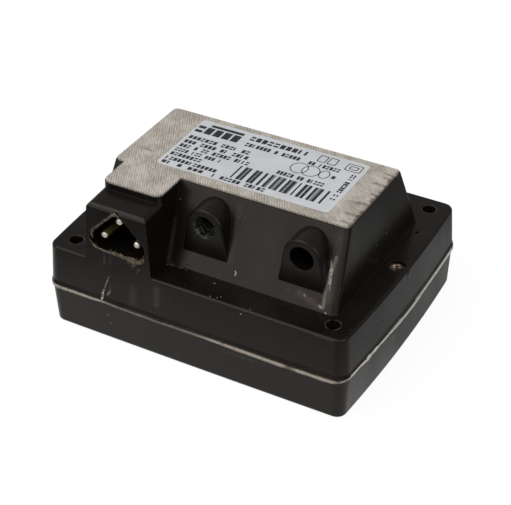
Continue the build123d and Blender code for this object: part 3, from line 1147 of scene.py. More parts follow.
@dataclass
class Case:
    """Both halves of the case and the sealing compound between them.

    Fields: bulge of the short and the long sides, plan corner radius of the bead, its grid, its
    depth in the seam, how much it swells (as a share), lumps and wanders, and tones of the
    moulding, its dust, its pale edges (partly wear, partly painted highlight) and its scratches.
    Then for the dirt at the tower's foot: number and radii of its crumbs, first place in the plan,
    run from there and scatter, height of the rim, and place and steepness of the slope behind it.
    Last the bead's course: places in the plan, each with the height of the bead's middle and half
    its width there.
    """

    end_bow: float = 1.4
    side_bow: float = 0.2
    corner: float = 4.56
    points_round: int = 1600
    points_across: int = 14
    bead_depth: float = 1.1
    bead_swell: float = 0.16
    bead_lumps: float = 0.12
    bead_wander: float = 0.07
    dark: Colour = tone(14, 12, 9)
    light: Colour = tone(21, 18, 15)
    dust: Colour = tone(168, 164, 158)
    # Tone of the pale edges: partly wear, partly painted highlight.
    worn: Colour = tone(88, 81, 74)
    scuff: Colour = tone(168, 160, 151)
    dirt_count: int = 40
    dirt_size: tuple[float, float] = (0.10, 0.30)
    dirt_start: tuple[float, float] = (-13.0, -31.9)
    dirt_run: tuple[float, float] = (7.0, 0.7)
    dirt_scatter: float = 0.45
    rim: float = 29.5
    slope_foot: float = -30.95
    steepness: float = 1.9
    course: tuple[tuple[float, float, float, float], ...] = (
        (54, 38, 14.5, 0.45), (40, 42, 14.7, 0.6), (0, 42, 14.8, 0.55), (-40, 42, 14.8, 0.6),
        (-54, 38, 14.7, 0.6), (-54, 0, 14.9, 0.5), (-54, -38, 14.8, 0.6), (-47, -42, 14.55, 0.55),
        (-42, -42, 14.7, 0.58), (-36, -42, 14.6, 0.55), (-31, -42, 14.9, 0.4),
        (-27, -42, 14.6, 0.47), (-22, -42, 14.5, 0.36), (-12, -42, 14.4, 0.33),
        (-2, -42, 14.55, 0.36), (8, -42, 14.5, 0.43), (16, -42, 14.35, 0.53),
        (28, -42, 14.2, 0.62), (38, -42, 14.2, 0.58), (46, -42, 14.25, 0.52), (52, -41, 14.8, 0.5),
        (54, -37, 15.4, 0.42), (54, -32, 15.35, 0.36), (54, -28.5, 14.9, 0.5),
        (54, -27, 14.95, 0.8), (54, -25, 15.2, 0.45), (54, -22, 15.1, 0.62), (54, -20, 15.0, 0.4),
        (54, -14, 14.65, 0.2), (54, -8, 14.15, 0.2), (54, -2, 13.85, 0.2),
        (54, 4, 13.75, 0.2), (54, 8, 13.95, 0.2), (54, 14, 14.3, 0.2), (54, 24, 14.45, 0.26),
    )

    def marks(self) -> tuple[Mark, ...]:
        """Scratches, smears and specks of the upper half, where the photo shows them.

        Returns:
            The marks.
        """
        pale, dim, rub = self.scuff, tone(84, 79, 74), tone(98, 86, 83)
        drip, bright, chip = tone(82, 84, 78), tone(200, 194, 186), tone(198, 190, 170)
        scratch, soft_patch, streaks, speck = MarkKind.SCRATCH, MarkKind.SOFT_PATCH, MarkKind.STREAKS, MarkKind.SPECK
        rim = ((-35.9, 39.4), (-35.5, 36.6), (-33.6, 34.4), (-30.0, 33.8), (-22.5, 33.7))
        rim_wear = tuple(
            Mark(scratch, (a, -40.4, b), (c, -40.4, d), 0.3, tone(104, 97, 88), 0.7)
            for (a, b), (c, d) in zip(rim, rim[1:])
        )
        return rim_wear + (
            # The broad soft band and the dim streaks down the turret's front-right corner are
            # partly rub and partly painted highlight along the rounded edge.
            Mark(soft_patch, (40.2, -20.0, 50.6), (40.9, -28.6, 33.6), 2.6, tone(70, 65, 60), 0.5),
            Mark(streaks, (38.9, -20.4, 49.5), (40.3, -30.4, 31.0), 1.7, dim, 0.8),
            Mark(soft_patch, (40.1, -23.0, 44.6), (39.3, -27.9, 35.4), 0.9, pale, 0.4),
            Mark(streaks, (39.1, -23.6, 43.2), (40.1, -27.4, 36.2), 0.85, pale, 1.0),
            Mark(scratch, (39.5, -24.8, 41.2), (39.9, -26.6, 37.7), 0.6, tone(206, 199, 190), 0.75),
            Mark(soft_patch, (39.3, -28.2, 34.8), (39.7, -30.2, 30.9), 0.9, pale, 0.4),
            Mark(soft_patch, (31.5, -29.2, 32.8), (38.2, -30.3, 30.8), 1.7, rub, 0.5),
            Mark(speck, (33.0, -29.3, 32.6), (33.2, -29.4, 32.4), 0.28, pale, 0.7),
            Mark(speck, (38.5, -30.1, 31.0), (39.0, -30.3, 30.8), 0.45, pale, 0.8),
            Mark(speck, (9.5, -29.1, 32.9), (9.9, -29.4, 32.4), 0.19, bright, 0.9),
            Mark(speck, (9.9, -29.4, 32.4), (9.7, -29.7, 31.8), 0.19, bright, 0.9),
            Mark(speck, (40.8, -30.8, 29.8), (40.9, -30.8, 29.7), 0.3, pale, 0.8),
            Mark(speck, (18.0, -40.8, 27.8), (18.0, -40.8, 27.7), 0.3, pale, 0.8),
            Mark(speck, (9.8, -38.4, 29.5), (9.8, -38.4, 29.5), 0.22, pale, 0.6),
            Mark(speck, (4.4, -33.4, 29.5), (4.9, -33.4, 29.5), 0.22, pale, 0.5),
            Mark(scratch, (-29.0, -41.0, 24.8), (-30.3, -41.1, 21.2), 0.34, pale, 0.6),
            Mark(scratch, (-30.4, -41.1, 21.2), (-31.4, -41.3, 18.2), 0.38, pale, 0.8),
            Mark(scratch, (-31.4, -41.3, 18.2), (-31.75, -41.6, 15.7), 0.5, chip, 1.0),
            Mark(streaks, (-28.2, -41.1, 22.2), (-28.7, -41.3, 19.4), 0.75, dim, 0.9),
            Mark(scratch, (-28.6, -41.2, 19.9), (-29.7, -41.3, 18.0), 0.34, pale, 0.7),
            Mark(soft_patch, (-20.1, -41.1, 23.8), (-20.2, -41.3, 18.6), 2.2, dim, 0.3),
            Mark(soft_patch, (-11.5, -40.9, 26.4), (-11.6, -41.3, 20.6), 2.0, dim, 0.42),
            # A soft lighter band where the tower's right wall meets the slope: painted highlight
            # along that junction.
            Mark(soft_patch, (-14.2, -24.6, 41.6), (-13.2, -31.0, 29.6), 1.4, dim, 0.3),
            # A soft lighter band right of the left socket nose, along its fillet to the slope:
            # painted highlight.
            Mark(soft_patch, (6.2, -20.0, 50.0), (7.0, -28.0, 35.0), 1.6, dim, 0.26),
            Mark(streaks, (-30.3, -40.5, 32.6), (-30.4, -40.7, 29.6), 0.8, drip, 0.8),
            Mark(streaks, (-28.1, -40.5, 32.8), (-28.2, -40.7, 29.9), 0.7, drip, 0.8),
        )

    def tray_marks(self) -> tuple[Mark, ...]:
        """Specks and soft smears of the lower half.

        Returns:
            The marks.
        """
        dim = tone(96, 90, 84)
        return (
            Mark(MarkKind.SPECK, (-30.2, -41.2, 9.9), (-30.2, -41.2, 9.5), 0.5, dim, 0.8),
            Mark(MarkKind.SPECK, (-29.4, -41.0, 6.9), (-29.4, -41.0, 6.5), 0.45, dim, 0.7),
            Mark(MarkKind.SOFT_PATCH, (12.0, -41.1, 11.5), (22.0, -41.1, 11.8), 1.2, dim, 0.25),
            Mark(MarkKind.SOFT_PATCH, (53.9, 4.8, 12.7), (53.9, 6.6, 10.4), 1.1, tone(150, 150, 148), 0.4),
            Mark(MarkKind.SOFT_PATCH, (53.9, -9.5, 10.5), (53.9, -7.5, 8.5), 1.5, tone(150, 150, 148), 0.18),
        )

    def bead_path(self) -> tuple[Array, Array]:
        """Places and outward directions round the seam.

        A rounded rectangle of the bead's outline, whose sides are then bowed: x grows by
        end_bow (1 - (y / half_y)^2) of itself over its end, and y likewise.

        Returns:
            Points and unit normals, both of shape points, two.
        """
        _, high = node_box("seam_bead")
        end_x, end_y = high[0] - self.end_bow, high[1] - self.side_bow
        flat = rounded_outline(end_x, end_y, self.corner, self.points_round)
        share_x, share_y = flat[:, 0] / end_x, flat[:, 1] / end_y
        bowed = np.stack([
            flat[:, 0] + share_x * self.end_bow * (1 - share_y ** 2),
            flat[:, 1] + share_y * self.side_bow * (1 - share_x ** 2),
        ], axis=-1)
        step = np.roll(bowed, -1, axis=0) - np.roll(bowed, 1, axis=0)
        normal = np.stack([step[:, 1], -step[:, 0]], axis=-1)
        normal /= np.linalg.norm(normal, axis=-1, keepdims=True)
        return bowed, normal

    def sealing_bead(self) -> bpy.types.Object:
        """Uneven bead carried round the seam.

        At a distance s round the case and an angle t across the bead, the point stands out by
        depth (r cos t - 1) / 2 + a little swell, and up by half_width(s) r sin t about a middle
        line, where r squares the section off a little. Middle and half width follow the course
        between its places; random ripples and lumps are added to both.

        Returns:
            The bead.
        """
        path, normal = self.bead_path()
        course = np.array(self.course)
        gap = np.hypot(path[:, None, 0] - course[None, :, 0], path[:, None, 1] - course[None, :, 1])
        where = gap.argmin(axis=0)
        order = np.argsort(where)
        around = np.arange(self.points_round)
        length = float(self.points_round)
        middle, half = (
            np.interp(around, where[order], course[order, column], period=length)
            for column in (2, 3)
        )
        swell = ripples(around, 3, 90, length)
        lumps = np.clip(ripples(around, 8, 260, length) - 0.15, 0, 1)
        half = half * (1 + self.bead_swell * swell) + self.bead_lumps * lumps
        middle = middle + self.bead_wander * ripples(around, 5, 60, length)
        across = np.linspace(0, TURN, self.points_across, endpoint=False)
        square = 1 + 0.16 * np.sin(2 * across) ** 2
        out = self.bead_depth * (0.5 * np.minimum(square * np.cos(across), 1) - 0.5)
        out = out[None, :] - 0.06 + 0.05 * np.clip(swell, -1, 1)[:, None]
        up = middle[:, None] + half[:, None] * (square * np.sin(across))[None, :]
        plan = path[:, None, :] + normal[:, None, :] * out[..., None]
        points = np.concatenate([plan, up[..., None]], axis=-1)
        return surface_object("sealing_bead", points, wrap_rows=True)

    def foot_dirt(self) -> bpy.types.Object:
        """Crumbs swept into the corner of the inlet tower and the slope's foot.

        Returns:
            The crumbs.
        """
        rng = np.random.default_rng(61)
        share = rng.uniform(0, 1, self.dirt_count)
        x = self.dirt_start[0] + self.dirt_run[0] * share
        y = self.dirt_start[1] + self.dirt_run[1] * share
        y = y + rng.normal(0, self.dirt_scatter, self.dirt_count)
        low = self.rim + self.steepness * np.maximum(y - self.slope_foot, 0)
        size = rng.uniform(*self.dirt_size, self.dirt_count)
        return crumbs("foot_dirt", np.stack([x, y, low + 0.3 * size], axis=-1), size, 62)

    def build(self) -> None:
        """Dress both halves and put the bead and the dirt in."""
        holes = mount("fixing_holes")["dims"]
        corner = (holes["spacing_x_mm"] / 2, holes["spacing_y_mm"] / 2)
        upper = MouldedPlastic("case_upper", self.dark, self.light, self.dust, self.worn, 0.26,
                               0.20, 0.31, self.marks(), holes=(corner,))
        lower = MouldedPlastic("case_lower", self.dark, self.light, self.dust, self.worn, 0.29,
                               0.26, 0.36, self.tray_marks())
        dress(frame["nodes"]["upper_housing"], upper.build())
        dress(frame["nodes"]["base_tray"], lower.build())
        bead = self.sealing_bead()
        dress(bead, SealingCompound().build())
        place(bead, "sealing_compound", "seam_bead")
        dirt = self.foot_dirt()
        dress(dirt, Dull("dark_grit", tone(72, 66, 58), tone(16, 14, 12), 0.35, patch=0.7).build())
        place(dirt, "case_plastic")


@dataclass
class Inlet:
    """Contact pins of the mains inlet, and the torn flash and crumbs on its rim.

    Fields: rounding of the pin tips, sides of a pin, where its tarnish starts and is full behind
    the tip, number of loose crumbs and of flakes below them, grid of a burr, how far its ends
    taper, how many points to each side smooth its course, the face's place along Y and how much
    deeper the left burr lies. For the flakes: middle and spread along X, height of the highest,
    shape and scale of their fall, and how far the face leans out. Last the courses of both burrs
    along the rim: x and z of the middle and the thickness there.
    """

    tip_round: float = 0.75
    sides: int = 40
    tarnish_starts: float = 0.45
    tarnish_full: float = 1.25
    loose: int = 70
    drips: int = 60
    flash_rows: int = 360
    flash_columns: int = 18
    taper: float = 0.8
    smoothing: int = 8
    face: float = -40.35
    left_depth: float = 0.9
    drip_place: tuple[float, float] = (-19.7, 1.0)
    drip_top: float = 33.5
    drip_fall: tuple[float, float] = (1.3, 0.75)
    lean: float = 0.06
    course: tuple[tuple[float, float, float], ...] = (
        (-35.3, 36.9, 0.16), (-34.4, 35.2, 0.26), (-32.8, 34.3, 0.34), (-29.0, 34.15, 0.30),
        (-26.4, 34.3, 0.50), (-24.4, 34.35, 0.62), (-22.4, 34.1, 0.50), (-20.4, 34.0, 0.85),
        (-18.6, 33.9, 0.95), (-17.4, 34.1, 0.70), (-16.4, 34.9, 0.42), (-15.9, 36.0, 0.22),
    )
    left_course: tuple[tuple[float, float, float], ...] = (
        (-34.9, 36.4, 0.3), (-35.1, 38.2, 0.5), (-34.9, 39.8, 0.62), (-33.8, 41.0, 0.62),
        (-31.6, 43.0, 0.45), (-29.6, 45.0, 0.45), (-27.8, 46.7, 0.4), (-26.4, 47.9, 0.5),
        (-25.2, 47.8, 0.4), (-24.2, 46.9, 0.25),
    )

    def pin(self, name: str) -> bpy.types.Object:
        """A round pin with a domed tip: radius against length along -Y, turned a full circle.

        Args:
            name: The node that it stands for.

        Returns:
            The pin.
        """
        low, high = node_box(name)
        radius = (high[0] - low[0]) / 2
        x, z = (low[0] + high[0]) / 2, (low[2] + high[2]) / 2
        dome = np.linspace(0, math.pi / 2, 9)
        y = np.concatenate([low[1] + self.tip_round * (1 - np.cos(dome)), [high[1], high[1]]])
        wide = radius - self.tip_round
        r = np.concatenate([wide + self.tip_round * np.sin(dome), [radius, 0]])
        y = np.concatenate([[low[1]], y])
        r = np.concatenate([[0], r])
        angle = np.linspace(0, TURN, self.sides, endpoint=False)
        points = np.stack([
            x + r[:, None] * np.cos(angle), np.broadcast_to(y[:, None], (len(y), self.sides)),
            z + r[:, None] * np.sin(angle),
        ], axis=-1)
        return surface_object(name.replace("inlet_", "contact_"), points)

    def torn_flash(self, name: str, places: tuple[Point, ...], face: float,
                   seed: int) -> bpy.types.Object:
        """A lumpy burr along a part of the rim.

        Round its course at angle a and along it at s, the radius is thickness(s) (1 + 0.5
        field(a, s)), squeezed across the face; the field is a rough one and a finer one added,
        and the thickness goes to nothing at both ends.

        Args:
            name: Name of the piece.
            places: x and z of its middle line and its thickness, along the rim.
            face: Its place along Y.
            seed: Start of the random draws.

        Returns:
            The burr.
        """
        course = np.array(places)
        run = np.append(0, np.cumsum(np.hypot(*np.diff(course[:, :2], axis=0).T)))
        s = np.linspace(0, run[-1], self.flash_rows)
        x, z, thick = (np.interp(s, run, course[:, k]) for k in range(3))
        window = 2 * self.smoothing + 1
        x, z = (np.convolve(np.pad(v, self.smoothing, mode="edge"),
                            np.full(window, 1 / window), "valid") for v in (x, z))
        thick = thick * np.clip(np.minimum(s, s[::-1]) / self.taper, 0, 1)
        step = np.stack([np.gradient(x), np.gradient(z)], axis=-1)
        step /= np.linalg.norm(step, axis=-1, keepdims=True)
        around = np.linspace(0, TURN, self.flash_columns, endpoint=False)[None, :]
        turn = TURN * s[:, None] / run[-1]
        field = (rough_field(around, 3 * turn, seed, 6)
                 + 0.7 * rough_field(around, 9 * turn, seed + 1, 5))
        radius = thick[:, None] * np.clip(1 + 0.5 * field, 0.25, 1.9)
        over = radius * np.cos(around)
        points = np.stack([
            x[:, None] + step[:, 1:] * over,
            face + 0.7 * radius * np.sin(around),
            z[:, None] - step[:, :1] * over,
        ], axis=-1)
        return surface_object(name, points)

    def rim_crumbs(self) -> bpy.types.Object:
        """Torn crumbs along the lower rim, and flakes that hang on the face below it.

        Returns:
            All of them as one object.
        """
        rng = np.random.default_rng(21)
        course = np.array(self.course)
        count = self.loose
        spread = rng.beta(2.4, 1.3, count) * (len(course) - 1)
        number = np.arange(len(course))
        x, z, thick = (np.interp(spread, number, course[:, k]) for k in range(3))
        centre = np.stack([
            x + rng.uniform(-0.4, 0.4, count),
            self.face + rng.uniform(-0.25, 1.0, count),
            z + rng.uniform(-1.1, 0.5, count) * thick,
        ], axis=-1)
        size = rng.uniform(0.14, 0.38, count)
        drip_x = rng.normal(*self.drip_place, self.drips)
        drip_z = self.drip_top - rng.gamma(*self.drip_fall, self.drips)
        drip_y = self.face - (self.drip_top - drip_z) * self.lean
        drips = np.stack([drip_x, drip_y, drip_z], axis=-1)
        centre = np.concatenate([centre, drips])
        size = np.concatenate([size, rng.uniform(0.10, 0.30, self.drips)])
        return crumbs("inlet_rim_crumbs", centre, size, 40)

    def build(self) -> None:
        """Make the pins, the burr and the crumbs."""
        low, _ = node_box("inlet_pin_line")
        plated = PinPlating("pin_metal", tone(240, 238, 230), tone(158, 148, 80),
                            low[1] + self.tarnish_starts, low[1] + self.tarnish_full).build()
        for name in ("inlet_pin_line", "inlet_pin_neutral", "inlet_pin_earth"):
            pin = self.pin(name)
            dress(pin, plated)
            place(pin, "pin_metal", name)
        torn = Dull("torn_flash", tone(124, 109, 88), tone(30, 23, 17), 0.5, 0.35, 0.06,
                    patch=0.8).build()
        lower = self.torn_flash("inlet_torn_flash", self.course, self.face, 31)
        left = self.torn_flash("inlet_left_burr", self.left_course, self.face + self.left_depth,
                               35)
        for piece in (lower, left, self.rim_crumbs()):
            dress(piece, torn)
            place(piece, "case_plastic")


@dataclass
class Outlets:
    """Old residue inside the left high-voltage bore.

    Fields: its length, how far behind the mouth it starts, its usual and its greatest thickness,
    share of its length over which it sets in, its least thickness, how far its outside is sunk
    in the wall, and its grid.
    """

    depth: float = 15.0
    setback: float = 0.3
    thickness: float = 0.35
    thickest: float = 1.3
    onset: float = 0.06
    film: float = 0.01
    sunk: float = 0.05
    rows: int = 90
    columns: int = 96

    def residue(self) -> bpy.types.Object:
        """A rough sleeve in the bore.

        Round the bore at angle a and along it at s, the inner radius is the bore's less a
        thickness of 0.35 (1 + field(a, s)), held to 0 and 1.3; the field is a rough one and a
        finer one added, and the outer surface is sunk in the wall.

        Returns:
            The sleeve.
        """
        outlet = mount("outlet_left")
        x, y, z = np.array(outlet["pos_m"]) / MM
        bore = outlet["dims"]["r_mm"]
        front = y - outlet["dims"]["length_mm"] / 2
        around = np.linspace(0, TURN, self.columns, endpoint=False)[None, :]
        along = np.linspace(0, 1, self.rows)[:, None]
        field = rough_field(around, TURN * along, 11, 9)
        field = field + 0.6 * rough_field(2 * around, 2 * TURN * along, 13, 9)
        fade = np.clip(along / self.onset, 0, 1)
        thick = np.clip(self.thickness * (1 + field), 0.0, self.thickest) * fade
        inner = bore - self.film - thick
        outer = np.full_like(inner, bore + self.sunk)
        radius = np.concatenate([inner, outer[::-1]])
        run = front + self.setback + self.depth * np.concatenate([along, along[::-1]])
        points = np.stack(np.broadcast_arrays(
            x + radius * np.cos(around), run, z + radius * np.sin(around)), axis=-1)
        return surface_object("bore_residue", points, wrap_rows=True)

    def build(self) -> None:
        """Make the residue."""
        piece = self.residue()
        dirt = Dull("bore_dirt", tone(86, 90, 79), tone(24, 26, 22), 0.30, 0.5, 0.08, patch=1.1)
        dress(piece, dirt.build())
        place(piece, "case_plastic")


class Slug(Enum):
    """Shape of one block of a greeked row."""

    WHOLE = 0
    SPLIT = 1
    NARROW = 2


@dataclass(frozen=True)
class GreekedRow:
    """A row of plain blocks.

    Fields: where it starts and ends along its line, its place across it, its height, how many
    blocks each group has, and whether it runs up the label.
    """

    start: float
    end: float
    line: float
    height: float
    groups: tuple[int, ...]
    upright: bool = False


@dataclass
class TopBoard:
    """The woven board on the top, the label on it and the label's generic print.

    Fields: thickness of the label and the print, how far print is sunk in the label, edges and
    corners of the label. For the blocks: share of their place that stays bare, greatest gap,
    width of narrow ones and half the slit of split ones as shares, and the chance of each kind.
    Then the rows; sides of the field of plain stripes, widths and gaps of its black stripes and
    of the wider grey ones, how much lower the grey lies, and most stripes drawn; sides of a
    single spot; and the rings: half their width, and for each the middle, half the length and
    height, and the power that makes it round or squarish.
    """

    sheet: float = 0.12
    ink: float = 0.025
    sunk: float = 0.005
    label_x: tuple[float, float] = (-26.95, 32.95)
    label_y: tuple[float, float] = (-14.6, 14.9)
    label_corner: float = 1.3
    block_gap: float = 0.24
    widest_gap: float = 0.7
    narrow_share: float = 0.45
    slit_share: float = 0.14
    chances: tuple[float, float, float] = (0.62, 0.25, 0.13)
    rows: tuple[GreekedRow, ...] = (
        GreekedRow(-26.2, -10.0, 9.2, 4.0, (5,)),
        GreekedRow(-22.6, -10.0, 12.5, 1.3, (1,)),
        GreekedRow(-7.9, 13.6, 11.8, 2.4, (10,)),
        GreekedRow(-7.6, 12.0, 7.9, 2.0, (7, 1, 5)),
        GreekedRow(-25.7, -3.5, 3.6, 1.9, (7, 4, 2)),
        GreekedRow(-25.7, -2.4, 0.7, 1.9, (3, 4, 2, 4)),
        GreekedRow(-25.7, -0.6, -2.1, 1.9, (3, 1, 2, 5, 4)),
        GreekedRow(-25.7, -8.8, -4.9, 1.8, (4, 3, 3, 1)),
        GreekedRow(-25.7, -14.4, -7.6, 1.8, (8,)),
        GreekedRow(-25.7, -7.3, -10.5, 1.8, (13,)),
        GreekedRow(-25.7, -10.6, -12.9, 1.6, (2, 1, 3)),
        GreekedRow(15.0, 26.0, 7.6, 1.9, (2, 6)),
        GreekedRow(9.0, 25.2, -1.8, 2.0, (5, 2, 5)),
        GreekedRow(-7.6, 10.9, -12.9, 1.8, (1, 5, 5)),
        GreekedRow(-7.8, 7.9, 30.7, 1.6, (1, 1, 6, 3), True),
    )
    bars_from: float = -3.3
    bars_to: float = 28.7
    bars_low: float = -11.4
    bars_high: float = -3.9
    bar_widths: tuple[float, float] = (0.5, 1.05)
    bar_gaps: tuple[float, float] = (0.35, 1.5)
    grey_widths: tuple[float, float] = (1.2, 2.2)
    grey_gaps: tuple[float, float] = (1.6, 4.5)
    grey_drop: float = 0.008
    most_bars: int = 60
    spot: tuple[float, float, float, float] = (25.0, 26.2, 2.6, 4.2)
    ring_half: float = 0.15
    ring_shapes: tuple[tuple[float, float, float, float, int], ...] = (
        (13.9, 3.4, 2.8, 2.9, 2), (17.9, 3.4, 2.8, 2.9, 2), (22.4, 3.6, 1.6, 2.2, 2),
        (18.0, 11.5, 1.3, 1.8, 9), (21.5, 11.5, 1.3, 1.8, 9), (28.9, 11.1, 2.5, 1.9, 9),
        (28.9, 11.1, 1.3, 0.8, 9),
    )

    def smears(self) -> tuple[Mark, ...]:
        """Brown smears near the board's right edge and a thin scratch at its left.

        Returns:
            The marks.
        """
        _, high = node_box("top_panel")
        top, brown = high[2], tone(104, 88, 72)
        places = ((38.0, 42.2, 6.8, 1.3), (38.4, 42.6, -4.9, 1.2), (38.0, 42.6, -11.8, 1.3),
                  (39.4, 42.4, 10.9, 1.0), (36.0, 39.0, -5.4, 0.7), (39.8, 42.6, 0.9, 1.1),
                  (38.4, 42.0, -16.2, 1.0), (38.2, 41.4, 13.2, 0.8))
        smears = [Mark(MarkKind.SOFT_PATCH, (a, y, top), (b, y - 0.3, top), reach, brown, 0.75)
                  for a, b, y, reach in places]
        scratch = Mark(MarkKind.SCRATCH, (-36.5, -8.9, top), (-31.6, -9.5, top), 0.35, brown, 0.8)
        return (*smears, scratch)

    def label_sheet(self) -> bpy.types.Object:
        """The label: rings of a rounded outline from the middle out, over the edge and back.

        The height is the sheet's thickness less a soft fall near the edge, and a faint ripple.

        Returns:
            The sheet.
        """
        low, _ = node_box("rating_label")
        sides = np.array([self.label_x, self.label_y])
        half = (sides[:, 1] - sides[:, 0]) / 2
        middle = sides.mean(axis=1)
        outline = rounded_outline(half[0], half[1], self.label_corner, 240)
        share = np.array([0, 0.2, 0.4, 0.6, 0.8, 0.92, 0.985, 1.0, 1.0, 0.0])
        height = np.array([1, 1, 1, 1, 1, 1, 1, 0.8, 0, 0]) * self.sheet
        plan = share[:, None, None] * outline[None] + middle
        ripple = 0.012 * np.sin(plan[..., 0] / 7) * np.sin(plan[..., 1] / 5 + 1)
        lift = (share * (1 - share) * 4 * (height > 0))[:, None] * ripple
        z = low[2] + height[:, None] + lift
        return surface_object("label_sheet", np.concatenate([plan, z[..., None]], axis=-1))

    def row_blocks(self, row: GreekedRow, rng: np.random.Generator) -> Array:
        """Plan corners of the plain blocks of a greeked row.

        Each block is whole, split into a lower and an upper half, or narrow, by chance.

        Args:
            row: The row.
            rng: Random draws.

        Returns:
            Corners of shape blocks, four, two.
        """
        places = np.concatenate([np.append(np.ones(n), 0) for n in row.groups])[:-1]
        pitch = (row.end - row.start) / len(places)
        starts = row.start + pitch * np.flatnonzero(places)
        count = len(starts)
        kind = rng.choice([slug.value for slug in Slug], count, p=self.chances)
        gap = min(self.block_gap * pitch, self.widest_gap)
        wide = np.where(kind == Slug.NARROW.value, self.narrow_share, 1.0) * (pitch - gap)
        low = np.full(count, row.line - row.height / 2)
        high = np.full(count, row.line + row.height / 2)
        split = kind == Slug.SPLIT.value
        slit = self.slit_share * row.height
        top = np.where(split, row.line - slit, high)
        lower = np.stack([starts, starts + wide, low, top])
        upper = np.stack([starts, starts + wide, low + row.height / 2 + slit, high])[:, split]
        corners = rectangles(*np.concatenate([lower, upper], axis=1))
        return corners[..., ::-1] if row.upright else corners

    def stripes(self, rng: np.random.Generator, widths: tuple[float, float],
                gaps: tuple[float, float]) -> Array:
        """Plan corners of a run of stripes of uneven width.

        Args:
            rng: Random draws.
            widths: Least and greatest width.
            gaps: Least and greatest gap.

        Returns:
            Corners of shape stripes, four, two.
        """
        wide = rng.uniform(*widths, self.most_bars)
        bare = rng.uniform(*gaps, self.most_bars)
        starts = self.bars_from + np.cumsum(wide + bare) - wide
        keep = starts + wide < self.bars_to
        left, right = starts[keep], (starts + wide)[keep]
        return rectangles(left, right, np.full_like(left, self.bars_low),
                          np.full_like(left, self.bars_high))

    def rings(self) -> Array:
        """Thin flat rings: ovals and squarish frames carried round, with a square section.

        The radius at an angle a is (|cos a|^p + |sin a|^p)^(-1/p): p 2 is round, p 9 squarish.

        Returns:
            Points of shape rings, stations, four, three, from height 0 up.
        """
        angle = np.linspace(0, TURN, 96, endpoint=False)[:, None]
        across = np.array([-1, 1, 1, -1])[None, :] * self.ring_half
        up = np.array([0, 0, 1, 1])[None, :] * self.ink
        surfaces = []
        for x, y, wide, tall, power in self.ring_shapes:
            bulge = (np.abs(np.cos(angle)) ** power + np.abs(np.sin(angle)) ** power)
            bulge = bulge ** (-1 / power)
            surfaces.append(np.stack(np.broadcast_arrays(
                x + (wide + across) * bulge * np.cos(angle),
                y + (tall + across) * bulge * np.sin(angle), up), axis=-1))
        return np.stack(surfaces)

    def prints(self) -> tuple[bpy.types.Object, bpy.types.Object]:
        """The print on the label.

        Returns:
            The black print and the grey stripes.
        """
        rng = np.random.default_rng(77)
        low, _ = node_box("rating_label")
        bottom = low[2] + self.sheet - self.sunk
        top = low[2] + self.sheet + self.ink
        blocks = [self.row_blocks(row, rng) for row in self.rows]
        blocks.append(self.stripes(rng, self.bar_widths, self.bar_gaps))
        blocks.append(rectangles(*np.array(self.spot)[:, None]))
        points, faces = plates(np.concatenate(blocks), bottom, top)
        rings = self.rings() + np.array([0, 0, bottom + self.sunk])
        count, stations, sides = rings.shape[:3]
        ring_faces = repeated(grid_faces(stations, sides, True), count, stations * sides)
        all_points = np.concatenate([points.reshape(-1, 3), rings.reshape(-1, 3)])
        all_faces = np.concatenate([faces, ring_faces + points.size // 3])
        black = make_object("label_print", all_points, all_faces)
        grey_bars = self.stripes(rng, self.grey_widths, self.grey_gaps)
        grey = make_object("label_fields", *plates(grey_bars, bottom, top - self.grey_drop))
        return black, grey

    def build(self) -> None:
        """Dress the board and lay the label with its print on it."""
        dress(frame["nodes"]["top_panel"], WovenBoard(smears=self.smears()).build())
        label = self.label_sheet()
        dress(label, LabelStock().build())
        place(label, "label_paper", "rating_label")
        black, grey = self.prints()
        dress(black, PrintInk("print_black", tone(34, 35, 38), tone(84, 86, 90)).build())
        dress(grey, PrintInk("print_grey", tone(132, 134, 137), tone(150, 152, 155)).build())
        for piece in (black, grey):
            place(piece, "label_paper", "rating_label")


